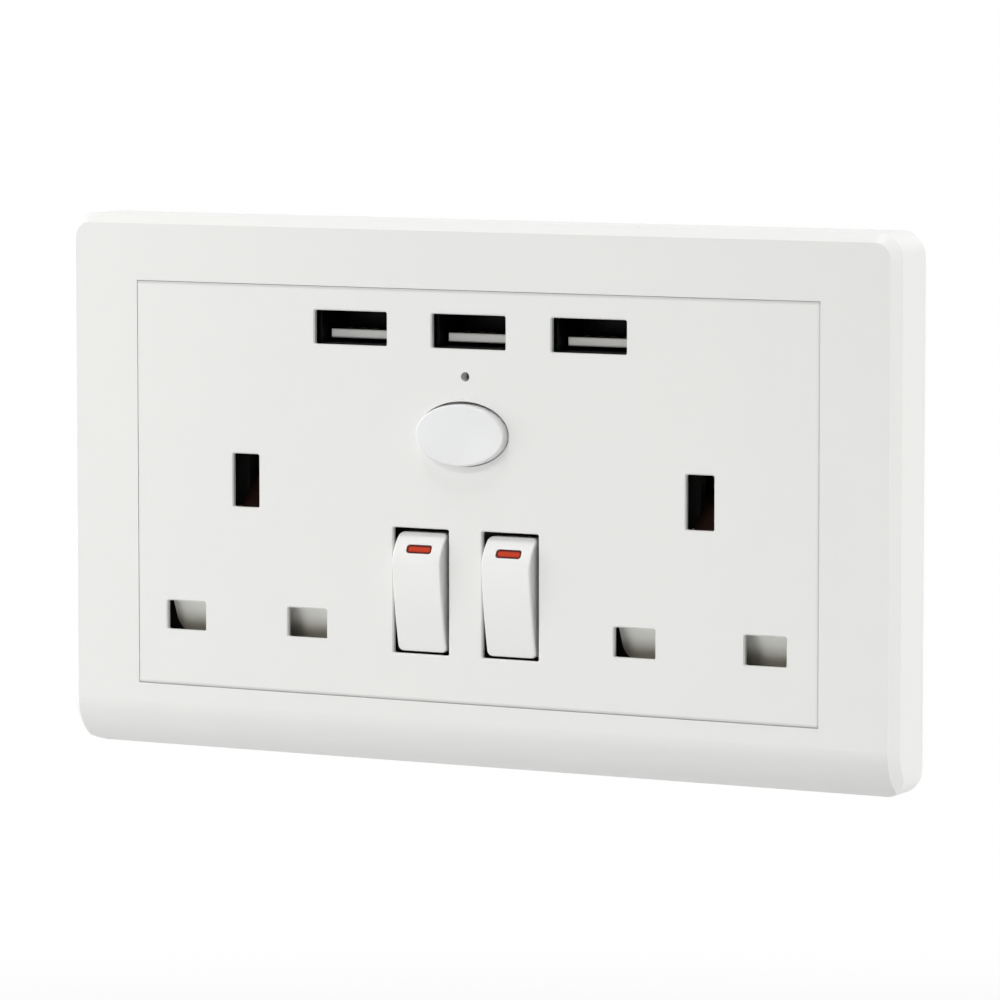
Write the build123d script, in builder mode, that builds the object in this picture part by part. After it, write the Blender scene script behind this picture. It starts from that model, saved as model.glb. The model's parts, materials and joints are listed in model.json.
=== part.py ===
"""Twin switched wall socket with three charging ports, as separate pieces.

Frame: +Z up, +X to the right as seen from the front, +Y into the wall. The origin is the
centre of the plate on the wall plane. Every height below is measured from the wall plane
towards the room, so a height is minus Y, and what lies inside the wall box is negative.
Lengths are millimetres and angles are degrees.
"""

import math
import os

from build123d import *

# Surround frame
plate_width = 146.0
plate_height = 86.0
plate_depth = 10.0
plate_corner = 4.0
edge_chamfer = 1.45
lip_run = 7.5
lip_drop = 5.5
shell_wall = 2.2
hook_depth = 1.0
hook_rise = 1.0
hook_length = 8.0
hook_spread = 70.0
side_hook_spread = 44.0
hook_play = 0.2

# Front panel
panel_width = 120.1
panel_height = 64.9
panel_gap = 0.03
panel_thickness = 2.0
panel_edge_round = 0.25
panel_rim = 1.5
flange_reach = 2.0
flange_thickness = 1.4

# Plug apertures
socket_pitch = 80.1
pin_spread = 22.23
pin_row = -21.17
pin_hole_width = 7.05
pin_hole_height = 4.66
earth_hole_width = 4.75
earth_hole_height = 8.55
aperture_corner = 0.3
aperture_break = 0.2
aperture_land = 0.6
pin_length = 17.7
earth_pin_length = 22.7
pin_end_room = 0.7

# Mounting plate
base_back = 1.8
base_thickness = 2.0
base_gap = 0.4
base_corner = 1.6
rim_inset = 2.0
rim_wall = 2.0
seat_wall = 1.6
fixing_pitch = 120.6
fixing_slot_length = 7.2
fixing_slot_width = 4.2
screw_head_room = 9.0
pin_way_margin = 0.5
boss_radius = 3.5
boss_length = 5.8
pilot_depth = 5.0

# Rocker switches
control_middle = -0.55
switch_pitch = 15.8
switch_row = -15.06
rocker_hole_width = 9.9
rocker_hole_height = 19.9
rocker_side_gap = 0.65
rocker_top_gap = 0.7
rocker_bottom_gap = 0.36
rocker_travel = 14.0
ridge_proud = 1.7
ridge_from_top = 4.65
facet_bow = 0.6
face_bow = 0.25
top_sunk = 1.2
bottom_sunk = 0.5
pivot_sunk = 5.4
skirt_below_pivot = 1.6
skirt_taper = 0.25
rocker_wall = 1.4
ridge_round = 2.0
rocker_corner = 0.9
rocker_edge_round = 0.35
trunnion_radius = 1.5
trunnion_length = 1.6
bearing_clearance = 0.06
cheek_gap = 0.3
cheek_wall = 1.5
cheek_length = 7.0
cheek_top_gap = 0.3
rocker_window_margin = 0.75

# Indicator inserts
indicator_width = 4.3
indicator_height = 1.35
indicator_corner = 0.5
indicator_offset = 2.3
indicator_shift = 0.25
indicator_thickness = 0.8
indicator_sink = 0.12
indicator_clearance = 0.08

# Switch plunger and moving contact
plunger_reach = 8.0
plunger_radius = 1.5
plunger_clearance = 0.1
dome_share = 0.95
plunger_back = 1.6
plunger_boss_radius = 2.6
plunger_boss_end = 4.0
plunger_boss_start = 5.8
plunger_bore_start = 2.8
spring_play = 0.05
spring_wire = 0.35
spring_turns = 4
contact_width = 5.0
contact_length = 16.0
contact_thickness = 0.8
contact_tilt = 5.0
contact_tip_gap = 0.15
knife_clearance = 0.05
rivet_offset = 6.8
rivet_radius = 1.5
rivet_height = 0.7
rivet_gap = 0.15

# Current carrying strips
strip = 0.8
post_height = 2.85
post_width = 4.0
post_thickness = 0.8
feed_left_margin = 2.5
feed_depth = 5.3
lane_depth = 3.2
clip_width = 6.0
clip_leaf = 0.7
clip_gap = 3.4
clip_bow = 0.55
clip_below_base = 2.4
neutral_drop = 2.3
neutral_lane_offset = -0.9
neutral_lane_depth = 3.0
earth_clip_width = 7.0
earth_lane_depth = 4.2
earth_stem_width = 5.0

# Terminals
terminal_pitch = 20.0
terminal_width = 8.0
terminal_depth = 8.4
terminal_wall_gap = 0.3
wire_bore_radius = 2.3
wire_bore_sunk = 16.0
wire_entry_radius = 3.2
terminal_screw_radius = 1.9
terminal_screw_head_radius = 2.8
terminal_screw_head = 1.7
terminal_screw_clearance = 0.1
screw_slot_width = 0.9
screw_slot_share = 1.4
screw_slot_depth = 0.8
terminal_screw_window = 3.3
screw_point_gap = 0.2

# Rear housing
housing_depth = 23.0
housing_wall = 2.0
housing_lower_width = 115.0
housing_upper_width = 102.0
housing_step = -4.5
housing_top = 32.5
housing_bottom = -30.5
housing_corner = 2.5
housing_edge_round = 1.2
pillar = 5.0
feed_rib_width = 6.0
feed_rib_depth = 1.8
board_post_radius = 2.0
board_post_inset = 3.5

# Assembly screws
screw_radius = 1.45
screw_clearance = 0.05
screw_way_clearance = 0.2
screw_head_radius = 2.8
screw_head_height = 2.2
screw_head_clearance = 0.35
screw_seat = 12.0
screw_point_room = 0.8
upper_screw_inset_x = 5.8
upper_screw_inset_z = 5.8
lower_screw_inset_z = 5.8

# Shutters
shutter_half_width = 15.15
shutter_corner = 3.0
shutter_cover = 0.45
shutter_skirt = 1.4
shutter_travel = 5.6
shutter_front_gap = 0.5
shutter_back_gap = 0.3
shutter_slope = 2.8
shutter_stem_width = 7.0
ramp_width = 4.4
ramp_rise = 5.6
ramp_foot = 1.1
ramp_below_pin = 0.38
ramp_gap = 0.6
cam_tongue_width = 3.0
cam_tongue_rise = 1.2
cam_clearance = 0.05
stem_window_width = 3.4
stem_window_top = 2.0
stem_window_bottom = 1.7
peg_height = 1.8
peg_width = 2.6
peg_gap = 0.3
rail_gap = 0.25
rail_wall = 1.2
rail_length = 10.0
rail_top_gap = 0.8
shutter_spring_radius = 1.0
shutter_spring_wire = 0.4
shutter_spring_turns = 6

# Charging ports
usb_pitch = 21.0
usb_row = 25.97
usb_hole_width = 12.95
usb_hole_height = 5.38
usb_mouth_gap = 0.2
usb_shell_length = 11.7
usb_inner_width = 12.5
usb_inner_height = 5.12
usb_sheet = 0.35
usb_tongue_width = 11.1
usb_tongue_thickness = 1.4
usb_tongue_drop = 1.17
usb_tongue_sunk = 1.6
usb_tongue_break = 0.2
usb_block_depth = 3.5
usb_block_clearance = 0.1
usb_contact_width = 1.0
usb_contact_thickness = 0.12
usb_contact_short = 2.5
usb_contact_places = (-3.5, -1.0, 1.0, 3.5)
usb_finger_places = (-3.2, 3.2)
usb_finger_width = 1.8
usb_finger_length = 5.6
usb_finger_slit = 0.4
usb_finger_from_mouth = 2.6

# Charger board
board_width = 63.0
board_thickness = 1.6
board_bottom = 4.6
board_top_gap = 0.3
window_margin = 1.0
window_bottom = 3.6

# Charger button and status light
button_width = 15.7
button_height = 9.7
button_middle = -0.91
button_row = 9.87
button_side_gap = 0.18
button_end_gap = 0.28
button_drop = 0.13
button_proud = 1.75
button_dome = 60.0
button_crown = 0.4
button_wall = 1.6
button_flange = 1.2
button_flange_thickness = 1.0
button_flange_gap = 0.4
button_travel = 1.5
button_boss_radius = 2.9
switch_body_size = 7.6
switch_body_height = 5.0
switch_plunger_size = 3.2
switch_plunger_clearance = 0.15
switch_plunger_inside = 2.7
switch_plunger_outside = 4.7
switch_bore_floor = 0.3
button_boss_gap = 0.4
light_row = 18.97
light_hole_radius = 0.75
led_radius = 1.5
led_height = 4.6
led_flange = 0.3
led_flange_height = 0.8
led_gap = 0.3
led_lead = 0.5
led_lead_pitch = 1.4

# Board components
core_width = 14.0
core_height = 12.0
core_depth = 10.5
core_limb = 3.0
winding_clearance = 0.2
winding_overhang = 2.0
transformer_x = -13.0
transformer_z = 21.0
input_capacitor_radius = 4.0
input_capacitor_length = 13.0
input_capacitor_x = 15.0
input_capacitor_z = 11.0
output_capacitor_radius = 3.15
output_capacitor_length = 9.0
output_capacitor_pitch = 8.0
output_capacitor_x = 12.0
output_capacitor_z = 22.0
capacitor_rim = 0.5
chip_width = 5.0
chip_height = 4.0
chip_depth = 1.6
chip_pitch = 9.0
chip_z = 9.0
chip_x = -12.0

# Inner leads
lead_radius = 0.75
lead_bend = 1.2
lead_end = 3.0
live_lead_x = 2.6
neutral_lead_x = -3.0

# Heights worked out from the sizes above
panel_front = plate_depth
panel_back = panel_front - panel_thickness
flange_front = plate_depth - shell_wall
flange_back = flange_front - flange_thickness
base_front = base_back + base_thickness
pivot = panel_front - pivot_sunk
clip_top = base_back - clip_below_base
live_web = panel_front - pin_length - pin_end_room
neutral_web = live_web - neutral_drop
earth_web = panel_front - earth_pin_length - pin_end_room
contact_pivot = pivot - plunger_reach - contact_tip_gap - contact_thickness
feed_front = contact_pivot - post_height
floor_front = housing_wall - housing_depth
boss_end = base_back - boss_length
usb_mouth = panel_back - usb_mouth_gap
board_front = usb_mouth - usb_shell_length
board_back = board_front - board_thickness

# Places worked out from the sizes above
socket_places = (-socket_pitch / 2, socket_pitch / 2)
switch_places = (control_middle - switch_pitch / 2, control_middle + switch_pitch / 2)
usb_places = (-usb_pitch, 0.0, usb_pitch)
side_names = ("left", "right")
port_names = ("left", "centre", "right")
earth_row = pin_row + pin_spread
base_width = plate_width - 2 * (shell_wall + base_gap)
base_height = plate_height - 2 * (shell_wall + base_gap)
fixing_points = [(-fixing_pitch / 2, 0), (fixing_pitch / 2, 0)]
pin_points = [(x + way * pin_spread / 2, pin_row) for x in socket_places for way in (-1, 1)]
earth_points = [(x, earth_row) for x in socket_places]
switch_points = [(x, switch_row) for x in switch_places]
usb_points = [(x, usb_row) for x in usb_places]
button_point = (button_middle, button_row)
button_hole_point = (button_middle, button_row + button_drop)
light_point = (control_middle, light_row)
neutral_places = [x - pin_spread / 2 for x in socket_places]
live_places = [x + pin_spread / 2 for x in socket_places]
inner_top = housing_top - housing_wall
inner_bottom = housing_bottom + housing_wall
terminal_row = inner_bottom + terminal_wall_gap + terminal_depth / 2
board_top = inner_top - board_top_gap
board_middle = (board_top + board_bottom) / 2
upper_screw_x = housing_upper_width / 2 - upper_screw_inset_x
screw_points = [
    (-upper_screw_x, housing_top - upper_screw_inset_z),
    (upper_screw_x, housing_top - upper_screw_inset_z),
    (-socket_pitch / 2, housing_bottom + lower_screw_inset_z),
    (socket_pitch / 2, housing_bottom + lower_screw_inset_z),
]
tilt_sine = math.sin(math.radians(contact_tilt))
tilt_cosine = math.cos(math.radians(contact_tilt))
rivet_row = switch_row + rivet_offset * tilt_cosine - rivet_height * tilt_sine
rivet_tip = contact_pivot - rivet_offset * tilt_sine - rivet_height * tilt_cosine
feed_row = switch_row + feed_depth / 2 - lane_depth / 2
neutral_lane = switch_row + neutral_lane_offset
earth_lane = earth_row - earth_hole_height / 2
rocker_width = rocker_hole_width - 2 * rocker_side_gap
rocker_top = switch_row + rocker_hole_height / 2 - rocker_top_gap
rocker_bottom = switch_row - rocker_hole_height / 2 + rocker_bottom_gap
ridge_row = rocker_top - ridge_from_top
cheek_offset = rocker_width / 2 + cheek_gap + cheek_wall / 2
cheek_top = panel_back - cheek_top_gap
shutter_back = base_front + shutter_back_gap
shutter_front = panel_back - shutter_front_gap
wing_top = pin_row + pin_hole_height / 2 + shutter_cover
wing_bottom = pin_row - pin_hole_height / 2 - shutter_skirt
ramp_low = earth_row - earth_hole_height / 2 + ramp_below_pin - ramp_gap
window_low = wing_top + stem_window_bottom
window_high = ramp_low - stem_window_top
peg_low = window_low + peg_gap


def layer(height):
    """Sketch plane parallel to the wall at a height: local x is right and local y is up."""
    return Plane.XZ.offset(height)


def side_view(x):
    """Sketch plane square to X: local x is the height from the wall and local y is up."""
    return Plane(origin=(x, 0, 0), x_dir=(0, -1, 0), z_dir=(-1, 0, 0))


def top_view(z):
    """Sketch plane square to Z: local x is right and local y is the height from the wall."""
    return Plane(origin=(0, 0, z), x_dir=(1, 0, 0), z_dir=(0, 0, -1))


def keep(builder, name):
    """Labels a finished piece and writes its file."""
    builder.part.label = name
    export_step(builder.part, f"parts/{name}.step")


def lip_section(x, inset):
    """Side section of the frame with its curved lower lip at a place, drawn inside the outer skin."""
    lip_radius = (lip_drop**2 + lip_run**2) / (2 * lip_drop)
    lip_start = lip_run - plate_height / 2
    with BuildSketch(side_view(x)) as section:
        with BuildLine():
            arc = CenterArc((plate_depth - lip_radius, lip_start), lip_radius - inset, 0, -88)
            Polyline(
                arc @ 1,
                (-plate_depth, (arc @ 1).Y),
                (-plate_depth, plate_height),
                (plate_depth - inset, plate_height),
                arc @ 0,
            )
        make_face()
    return section.sketch


def spanning(low, high):
    """Middle and length of a stretch, for placing a rectangle between two limits."""
    return (low + high) / 2, high - low


# Surround frame: a hollow clip-on cover whose lower edge curls back to the wall
with BuildPart() as frame_cavity:
    with BuildSketch(layer(0)):
        RectangleRounded(
            plate_width - 2 * shell_wall, plate_height - 2 * shell_wall, plate_corner - shell_wall
        )
    extrude(amount=flange_front)
    extrude(lip_section(0, shell_wall), amount=plate_width, both=True, mode=Mode.INTERSECT)

with BuildPart() as lip_form:
    straight = plate_width / 2 - edge_chamfer
    extrude(lip_section(0, 0), amount=straight, both=True)
    for way in (-1, 1):
        loft([lip_section(way * straight, 0), lip_section(way * plate_width / 2, edge_chamfer)], ruled=True)

with BuildPart() as surround_frame:
    with BuildSketch(layer(0)):
        RectangleRounded(plate_width, plate_height, plate_corner)
    extrude(amount=plate_depth)
    chamfer(surround_frame.faces().sort_by(Axis.Y)[0].edges(), length=edge_chamfer)
    add(lip_form.part, mode=Mode.INTERSECT)
    add(frame_cavity.part, mode=Mode.SUBTRACT)
    with BuildSketch(layer(0)):
        Rectangle(panel_width + 2 * panel_gap, panel_height + 2 * panel_gap)
    extrude(amount=plate_depth, mode=Mode.SUBTRACT)
    hook_face = base_back - hook_play
    wall_z = plate_height / 2 - shell_wall
    wall_x = plate_width / 2 - shell_wall
    with BuildSketch(*[side_view(x) for x in (-hook_spread / 2, hook_spread / 2)]):
        for way in (-1, 1):
            Polygon(
                (hook_face - hook_rise, way * wall_z),
                (hook_face, way * (wall_z - hook_depth)),
                (hook_face, way * wall_z),
                align=None,
            )
    extrude(amount=hook_length / 2, both=True)
    with BuildSketch(*[top_view(z) for z in (-side_hook_spread / 2, side_hook_spread / 2)]):
        for way in (-1, 1):
            Polygon(
                (way * wall_x, hook_face - hook_rise),
                (way * (wall_x - hook_depth), hook_face),
                (way * wall_x, hook_face),
                align=None,
            )
    extrude(amount=hook_length / 2, both=True)
keep(surround_frame, "surround_frame")

# Front panel: a rimmed plate with a retaining flange, and every aperture, relieved from behind
with BuildPart() as front_panel:
    with BuildSketch(layer(panel_back)):
        Rectangle(panel_width, panel_height)
    extrude(amount=panel_thickness)
    fillet(front_panel.faces().sort_by(Axis.Y)[0].edges(), radius=panel_edge_round)
    with BuildSketch(layer(flange_back)):
        Rectangle(panel_width + 2 * flange_reach, panel_height + 2 * flange_reach)
        Rectangle(panel_width - 2 * panel_rim, panel_height - 2 * panel_rim, mode=Mode.SUBTRACT)
    extrude(amount=flange_thickness)
    with BuildSketch(layer(flange_back)):
        Rectangle(panel_width, panel_height)
        Rectangle(panel_width - 2 * panel_rim, panel_height - 2 * panel_rim, mode=Mode.SUBTRACT)
    extrude(amount=panel_back - flange_back)
    with BuildSketch(layer(panel_back)):
        with Locations(*pin_points):
            RectangleRounded(pin_hole_width, pin_hole_height, aperture_corner)
        with Locations(*earth_points):
            RectangleRounded(earth_hole_width, earth_hole_height, aperture_corner)
        with Locations(*usb_points):
            RectangleRounded(usb_hole_width, usb_hole_height, aperture_corner)
        with Locations(*switch_points):
            RectangleRounded(rocker_hole_width, rocker_hole_height, aperture_corner)
    extrude(amount=panel_thickness, mode=Mode.SUBTRACT)
    mouths = front_panel.faces().sort_by(Axis.Y)[0].inner_wires()
    chamfer([edge for mouth in mouths for edge in mouth.edges()], length=aperture_break)
    skin_back = front_panel.faces().filter_by_position(Axis.Y, -panel_back, -panel_back)[0]
    chamfer(
        [edge for mouth in skin_back.inner_wires() for edge in mouth.edges()],
        length=panel_thickness - aperture_break - aperture_land,
    )
    with BuildSketch(layer(panel_back)):
        with Locations(light_point):
            Circle(light_hole_radius)
        with Locations(button_hole_point):
            Ellipse(button_width / 2 + button_side_gap, button_height / 2 + button_end_gap)
    extrude(amount=panel_thickness, mode=Mode.SUBTRACT)
keep(front_panel, "front_panel")

# Mounting plate: carries the rockers, the shutters and the fixing slots
window_top = usb_row + usb_inner_height / 2 + usb_sheet + window_margin
window_middle, window_height = spanning(window_bottom, window_top)
window_width = 2 * (usb_pitch + usb_inner_width / 2 + usb_sheet + window_margin)
slot_middle, slot_height = spanning(
    ramp_low - shutter_travel - ramp_gap, earth_row + earth_hole_height / 2 + pin_way_margin
)
rail_offset = shutter_stem_width / 2 + rail_gap + rail_wall / 2
cheek_places = [x + way * cheek_offset for x in switch_places for way in (-1, 1)]

with BuildPart() as mounting_plate:
    with BuildSketch(layer(base_back)):
        RectangleRounded(base_width, base_height, base_corner)
        with Locations(*fixing_points):
            SlotOverall(fixing_slot_length, fixing_slot_width, mode=Mode.SUBTRACT)
        with Locations(*pin_points):
            Rectangle(
                pin_hole_width + 2 * pin_way_margin,
                pin_hole_height + 2 * pin_way_margin,
                mode=Mode.SUBTRACT,
            )
        with Locations(*[(x, slot_middle) for x in socket_places]):
            Rectangle(earth_hole_width + 2 * pin_way_margin, slot_height, mode=Mode.SUBTRACT)
        with Locations(*switch_points):
            Rectangle(
                rocker_width + 2 * cheek_gap,
                rocker_hole_height + 2 * rocker_window_margin,
                mode=Mode.SUBTRACT,
            )
        with Locations((0, window_middle)):
            Rectangle(window_width, window_height, mode=Mode.SUBTRACT)
    extrude(amount=base_thickness)
    with BuildSketch(layer(0)):
        RectangleRounded(base_width - 2 * rim_inset, base_height - 2 * rim_inset, base_corner)
        Rectangle(
            base_width - 2 * (rim_inset + rim_wall),
            base_height - 2 * (rim_inset + rim_wall),
            mode=Mode.SUBTRACT,
        )
    extrude(amount=base_back)
    with BuildSketch(layer(base_front)):
        Rectangle(panel_width + 2 * flange_reach, panel_height + 2 * flange_reach)
        Rectangle(
            panel_width + 2 * (flange_reach - seat_wall),
            panel_height + 2 * (flange_reach - seat_wall),
            mode=Mode.SUBTRACT,
        )
        with Locations(*fixing_points):
            Circle(screw_head_room / 2, mode=Mode.SUBTRACT)
    extrude(amount=flange_back - base_front)
    cheek_middle, cheek_height = spanning(base_back, cheek_top)
    bearing_radius = trunnion_radius + bearing_clearance
    with BuildSketch(*[side_view(x) for x in cheek_places]):
        with Locations((cheek_middle, switch_row)):
            Rectangle(cheek_height, cheek_length)
    extrude(amount=cheek_wall / 2, both=True)
    throat_middle, throat_height = spanning(pivot, cheek_top)
    with BuildSketch(*[side_view(x) for x in cheek_places]):
        with Locations((pivot, switch_row)):
            Circle(bearing_radius)
        with Locations((throat_middle, switch_row)):
            Rectangle(throat_height, 2 * bearing_radius)
    extrude(amount=cheek_wall / 2, both=True, mode=Mode.SUBTRACT)
    rail_middle = (window_low + window_high) / 2
    with BuildSketch(layer(base_front)):
        with Locations(*[(x + way * rail_offset, rail_middle) for x in socket_places for way in (-1, 1)]):
            Rectangle(rail_wall, rail_length)
        with Locations(*[(x, peg_low + peg_height / 2) for x in socket_places]):
            Rectangle(peg_width, peg_height)
    extrude(amount=panel_back - rail_top_gap - base_front)
    with BuildSketch(layer(boss_end)):
        with Locations(*screw_points):
            Circle(boss_radius)
    extrude(amount=boss_length)
    with BuildSketch(layer(boss_end)):
        with Locations(*screw_points):
            Circle(screw_radius + screw_clearance)
    extrude(amount=pilot_depth, mode=Mode.SUBTRACT)
keep(mounting_plate, "mounting_plate")


def housing_outline(inset):
    """Adds the housing's stepped outline to the open sketch, drawn inside its skin."""
    lower_middle, lower_height = spanning(housing_bottom + inset, housing_step - inset)
    upper_middle, upper_height = spanning(housing_step - inset - housing_wall, housing_top - inset)
    with Locations((0, lower_middle)):
        Rectangle(housing_lower_width - 2 * inset, lower_height)
    with Locations((0, upper_middle)):
        Rectangle(housing_upper_width - 2 * inset, upper_height)


# Rear housing: a stepped box with pillars for the contacts and posts for the board
terminal_places = (-terminal_pitch, 0.0, terminal_pitch)
board_posts = [
    (way * (board_width / 2 - board_post_inset), z)
    for way in (-1, 1)
    for z in (board_bottom + board_post_inset, board_top - board_post_inset)
]
feed_rib_row = feed_row + feed_depth / 2 - feed_rib_depth / 2
supports = [
    (live_web - strip, pillar, pillar, [(x, pin_row) for x in live_places]),
    (neutral_web - strip, pillar, pillar, [(x, pin_row) for x in neutral_places]),
    (earth_web - strip, pillar, pillar, earth_points),
    (feed_front - strip, feed_rib_width, feed_rib_depth, [(x, feed_rib_row) for x in switch_places]),
]

with BuildPart() as rear_housing:
    with BuildSketch(layer(-housing_depth)) as outline:
        housing_outline(0)
        fillet(outline.vertices(), radius=housing_corner)
    extrude(amount=housing_depth + base_back)
    fillet(rear_housing.faces().sort_by(Axis.Y)[-1].edges(), radius=housing_edge_round)
    with BuildSketch(layer(floor_front)):
        housing_outline(housing_wall)
    extrude(amount=base_back - floor_front, mode=Mode.SUBTRACT)
    for top, width, height, places in supports:
        with BuildSketch(layer(floor_front)):
            with Locations(*places):
                Rectangle(width, height)
        extrude(amount=top - floor_front)
    with BuildSketch(layer(floor_front)):
        with Locations(*board_posts):
            Circle(board_post_radius)
    extrude(amount=board_back - floor_front)
    with BuildSketch(layer(floor_front)):
        with Locations(*screw_points):
            Circle(boss_radius)
    extrude(amount=boss_end - floor_front)
    with BuildSketch(layer(-housing_depth)):
        with Locations(*screw_points):
            Circle(screw_radius + screw_way_clearance)
    extrude(amount=housing_depth + boss_end, mode=Mode.SUBTRACT)
    with BuildSketch(layer(-housing_depth)):
        with Locations(*screw_points):
            Circle(screw_head_radius + screw_head_clearance)
    extrude(amount=housing_depth - screw_seat, mode=Mode.SUBTRACT)
    with BuildSketch(layer(-housing_depth)):
        with Locations(*[(x, terminal_row) for x in terminal_places]):
            Circle(terminal_screw_window)
    extrude(amount=housing_wall, mode=Mode.SUBTRACT)
    with BuildSketch(top_view(inner_bottom)):
        with Locations(*[(x, -wire_bore_sunk) for x in terminal_places]):
            Circle(wire_entry_radius)
    extrude(amount=housing_wall, mode=Mode.SUBTRACT)
keep(rear_housing, "rear_housing")


def facet_arc():
    """Bowed upper facet of a rocker in side view, from its ridge to its top."""
    return SagittaArc(
        (panel_front + ridge_proud, ridge_row), (panel_front - top_sunk, rocker_top), -facet_bow
    )


def rocker_section(skirt):
    """Side section of a rocker with two bowed faces, with its skirt ending at a height."""
    with BuildSketch() as section:
        with BuildLine():
            facet = facet_arc()
            edge = Polyline(
                facet @ 1,
                (skirt, rocker_top - skirt_taper),
                (skirt, rocker_bottom + skirt_taper),
                (panel_front - bottom_sunk, rocker_bottom),
            )
            SagittaArc(edge @ 1, facet @ 0, -face_bow)
        make_face()
    return section.sketch


def facet_plane(x):
    """Plane on a rocker's upper facet, centred where its indicator sits."""
    arc = facet_arc()
    along = indicator_offset / arc.length
    point = arc @ along
    heading = arc % along
    return Plane(
        origin=(x, -point.X, point.Y), x_dir=(1, 0, 0), z_dir=(0, -heading.Y, -heading.X)
    )


def plunger_plane(x):
    """Plane at a rocker's pivot whose normal runs along the plunger, into the wall."""
    half_travel = math.radians(rocker_travel / 2)
    return Plane(
        origin=(x, -pivot, switch_row),
        x_dir=(1, 0, 0),
        z_dir=(0, math.cos(half_travel), math.sin(half_travel)),
    )


def outline_edges(faces):
    """Edges around a patch of faces, without those that two of its faces share."""
    edges = [edge for item in faces for edge in item.edges()]
    return [edge for edge in edges if sum(edge.is_same(other) for other in edges) == 1]


def coil_spring(plane, start, length, radius, wire, turns):
    """Square-wire compression spring along a plane's normal, from a start to a length."""
    with BuildPart() as spring:
        with BuildLine() as coil:
            Helix(
                pitch=(length - wire) / turns,
                height=length - wire,
                radius=radius,
                center=plane.offset(start + wire / 2).origin,
                direction=plane.z_dir,
            )
        with BuildSketch(Plane(origin=coil.line @ 0, z_dir=coil.line % 0)):
            Rectangle(wire, wire)
        sweep(path=coil.line, is_frenet=True)
    return spring


# Rockers with their indicators, plungers, springs and moving contacts
for side, x in zip(side_names, switch_places):
    facet = facet_plane(x + indicator_shift)
    bore = plunger_plane(x)

    with BuildPart() as rocker:
        with BuildSketch(side_view(x)):
            add(rocker_section(pivot - skirt_below_pivot))
        extrude(amount=rocker_width / 2, both=True)
        fillet(rocker.edges().filter_by(Axis.X).sort_by(Axis.Y)[0], radius=ridge_round)
        fillet(rocker.edges().filter_by(lambda edge: abs((edge % 0.5).Y) > 0.9), radius=rocker_corner)
        touched = rocker.faces().filter_by(lambda item: item.normal_at().Y < -0.5)
        fillet(outline_edges(touched), radius=rocker_edge_round)
        with BuildSketch(side_view(x)):
            add(rocker_section(pivot - 2 * skirt_below_pivot - rocker_wall))
            offset(amount=-rocker_wall, mode=Mode.REPLACE)
        extrude(amount=rocker_width / 2 - rocker_wall, both=True, mode=Mode.SUBTRACT)
        with BuildSketch(bore.offset(-plunger_boss_start)):
            Circle(plunger_boss_radius)
        extrude(amount=plunger_boss_start + plunger_boss_end)
        with BuildSketch(bore.offset(-plunger_bore_start)):
            Circle(plunger_radius + plunger_clearance)
        extrude(amount=plunger_bore_start + plunger_boss_end, mode=Mode.SUBTRACT)
        for way in (-1, 1):
            with BuildSketch(side_view(x + way * (rocker_width / 2 - rocker_wall))):
                with Locations((pivot, switch_row)):
                    Circle(trunnion_radius)
            extrude(amount=-way * (rocker_wall + trunnion_length))
        with BuildSketch(facet.offset(-indicator_thickness - indicator_sink)):
            RectangleRounded(
                indicator_width + 2 * indicator_clearance,
                indicator_height + 2 * indicator_clearance,
                indicator_corner,
            )
        extrude(amount=2 * indicator_thickness, mode=Mode.SUBTRACT)
    keep(rocker, f"rocker_{side}")

    with BuildPart() as indicator:
        with BuildSketch(facet.offset(-indicator_thickness - indicator_sink)):
            RectangleRounded(indicator_width, indicator_height, indicator_corner)
        extrude(amount=indicator_thickness)
    keep(indicator, f"indicator_{side}")

    with BuildPart() as plunger:
        with BuildSketch(bore.offset(plunger_back)):
            Circle(plunger_radius)
        extrude(amount=plunger_reach - plunger_back)
        fillet(plunger.edges().sort_by(Axis.Y)[-1], radius=dome_share * plunger_radius)
    keep(plunger, f"plunger_{side}")

    plunger_spring = coil_spring(
        bore,
        spring_play - plunger_bore_start,
        plunger_bore_start + plunger_back - 2 * spring_play,
        plunger_radius - spring_wire,
        spring_wire,
        spring_turns,
    )
    keep(plunger_spring, f"plunger_spring_{side}")

    seesaw = Plane(
        origin=(x, -contact_pivot, switch_row), x_dir=(1, 0, 0), z_dir=(0, -tilt_cosine, tilt_sine)
    )
    with BuildPart() as moving_contact:
        with BuildSketch(seesaw):
            SlotOverall(contact_length, contact_width, rotation=90)
        extrude(amount=contact_thickness)
        with BuildSketch(seesaw):
            with Locations((0, rivet_offset)):
                Circle(rivet_radius)
        extrude(amount=-rivet_height)
        with BuildSketch(side_view(x)):
            with Locations((contact_pivot, switch_row)):
                Circle(post_thickness / 2 + knife_clearance)
        extrude(amount=contact_width / 2, both=True, mode=Mode.SUBTRACT)
    keep(moving_contact, f"moving_contact_{side}")


def clip_leaves(plane, middle, rise, web):
    """Section of two bowed spring leaves about a middle point, rising from a web."""
    across = Vector(-rise.Y, rise.X)
    reach = clip_gap / 2 + clip_leaf / 2
    waist = (web + 2 * clip_top) / 3
    with BuildSketch(plane) as section:
        for way in (-1, 1):
            with BuildLine():
                Polyline(
                    middle + across * way * (reach + clip_bow) + rise * (web - strip / 2),
                    middle + across * way * reach + rise * waist,
                    middle + across * way * (reach + clip_bow) + rise * clip_top,
                )
            trace(line_width=clip_leaf)
    return section.sketch


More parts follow.
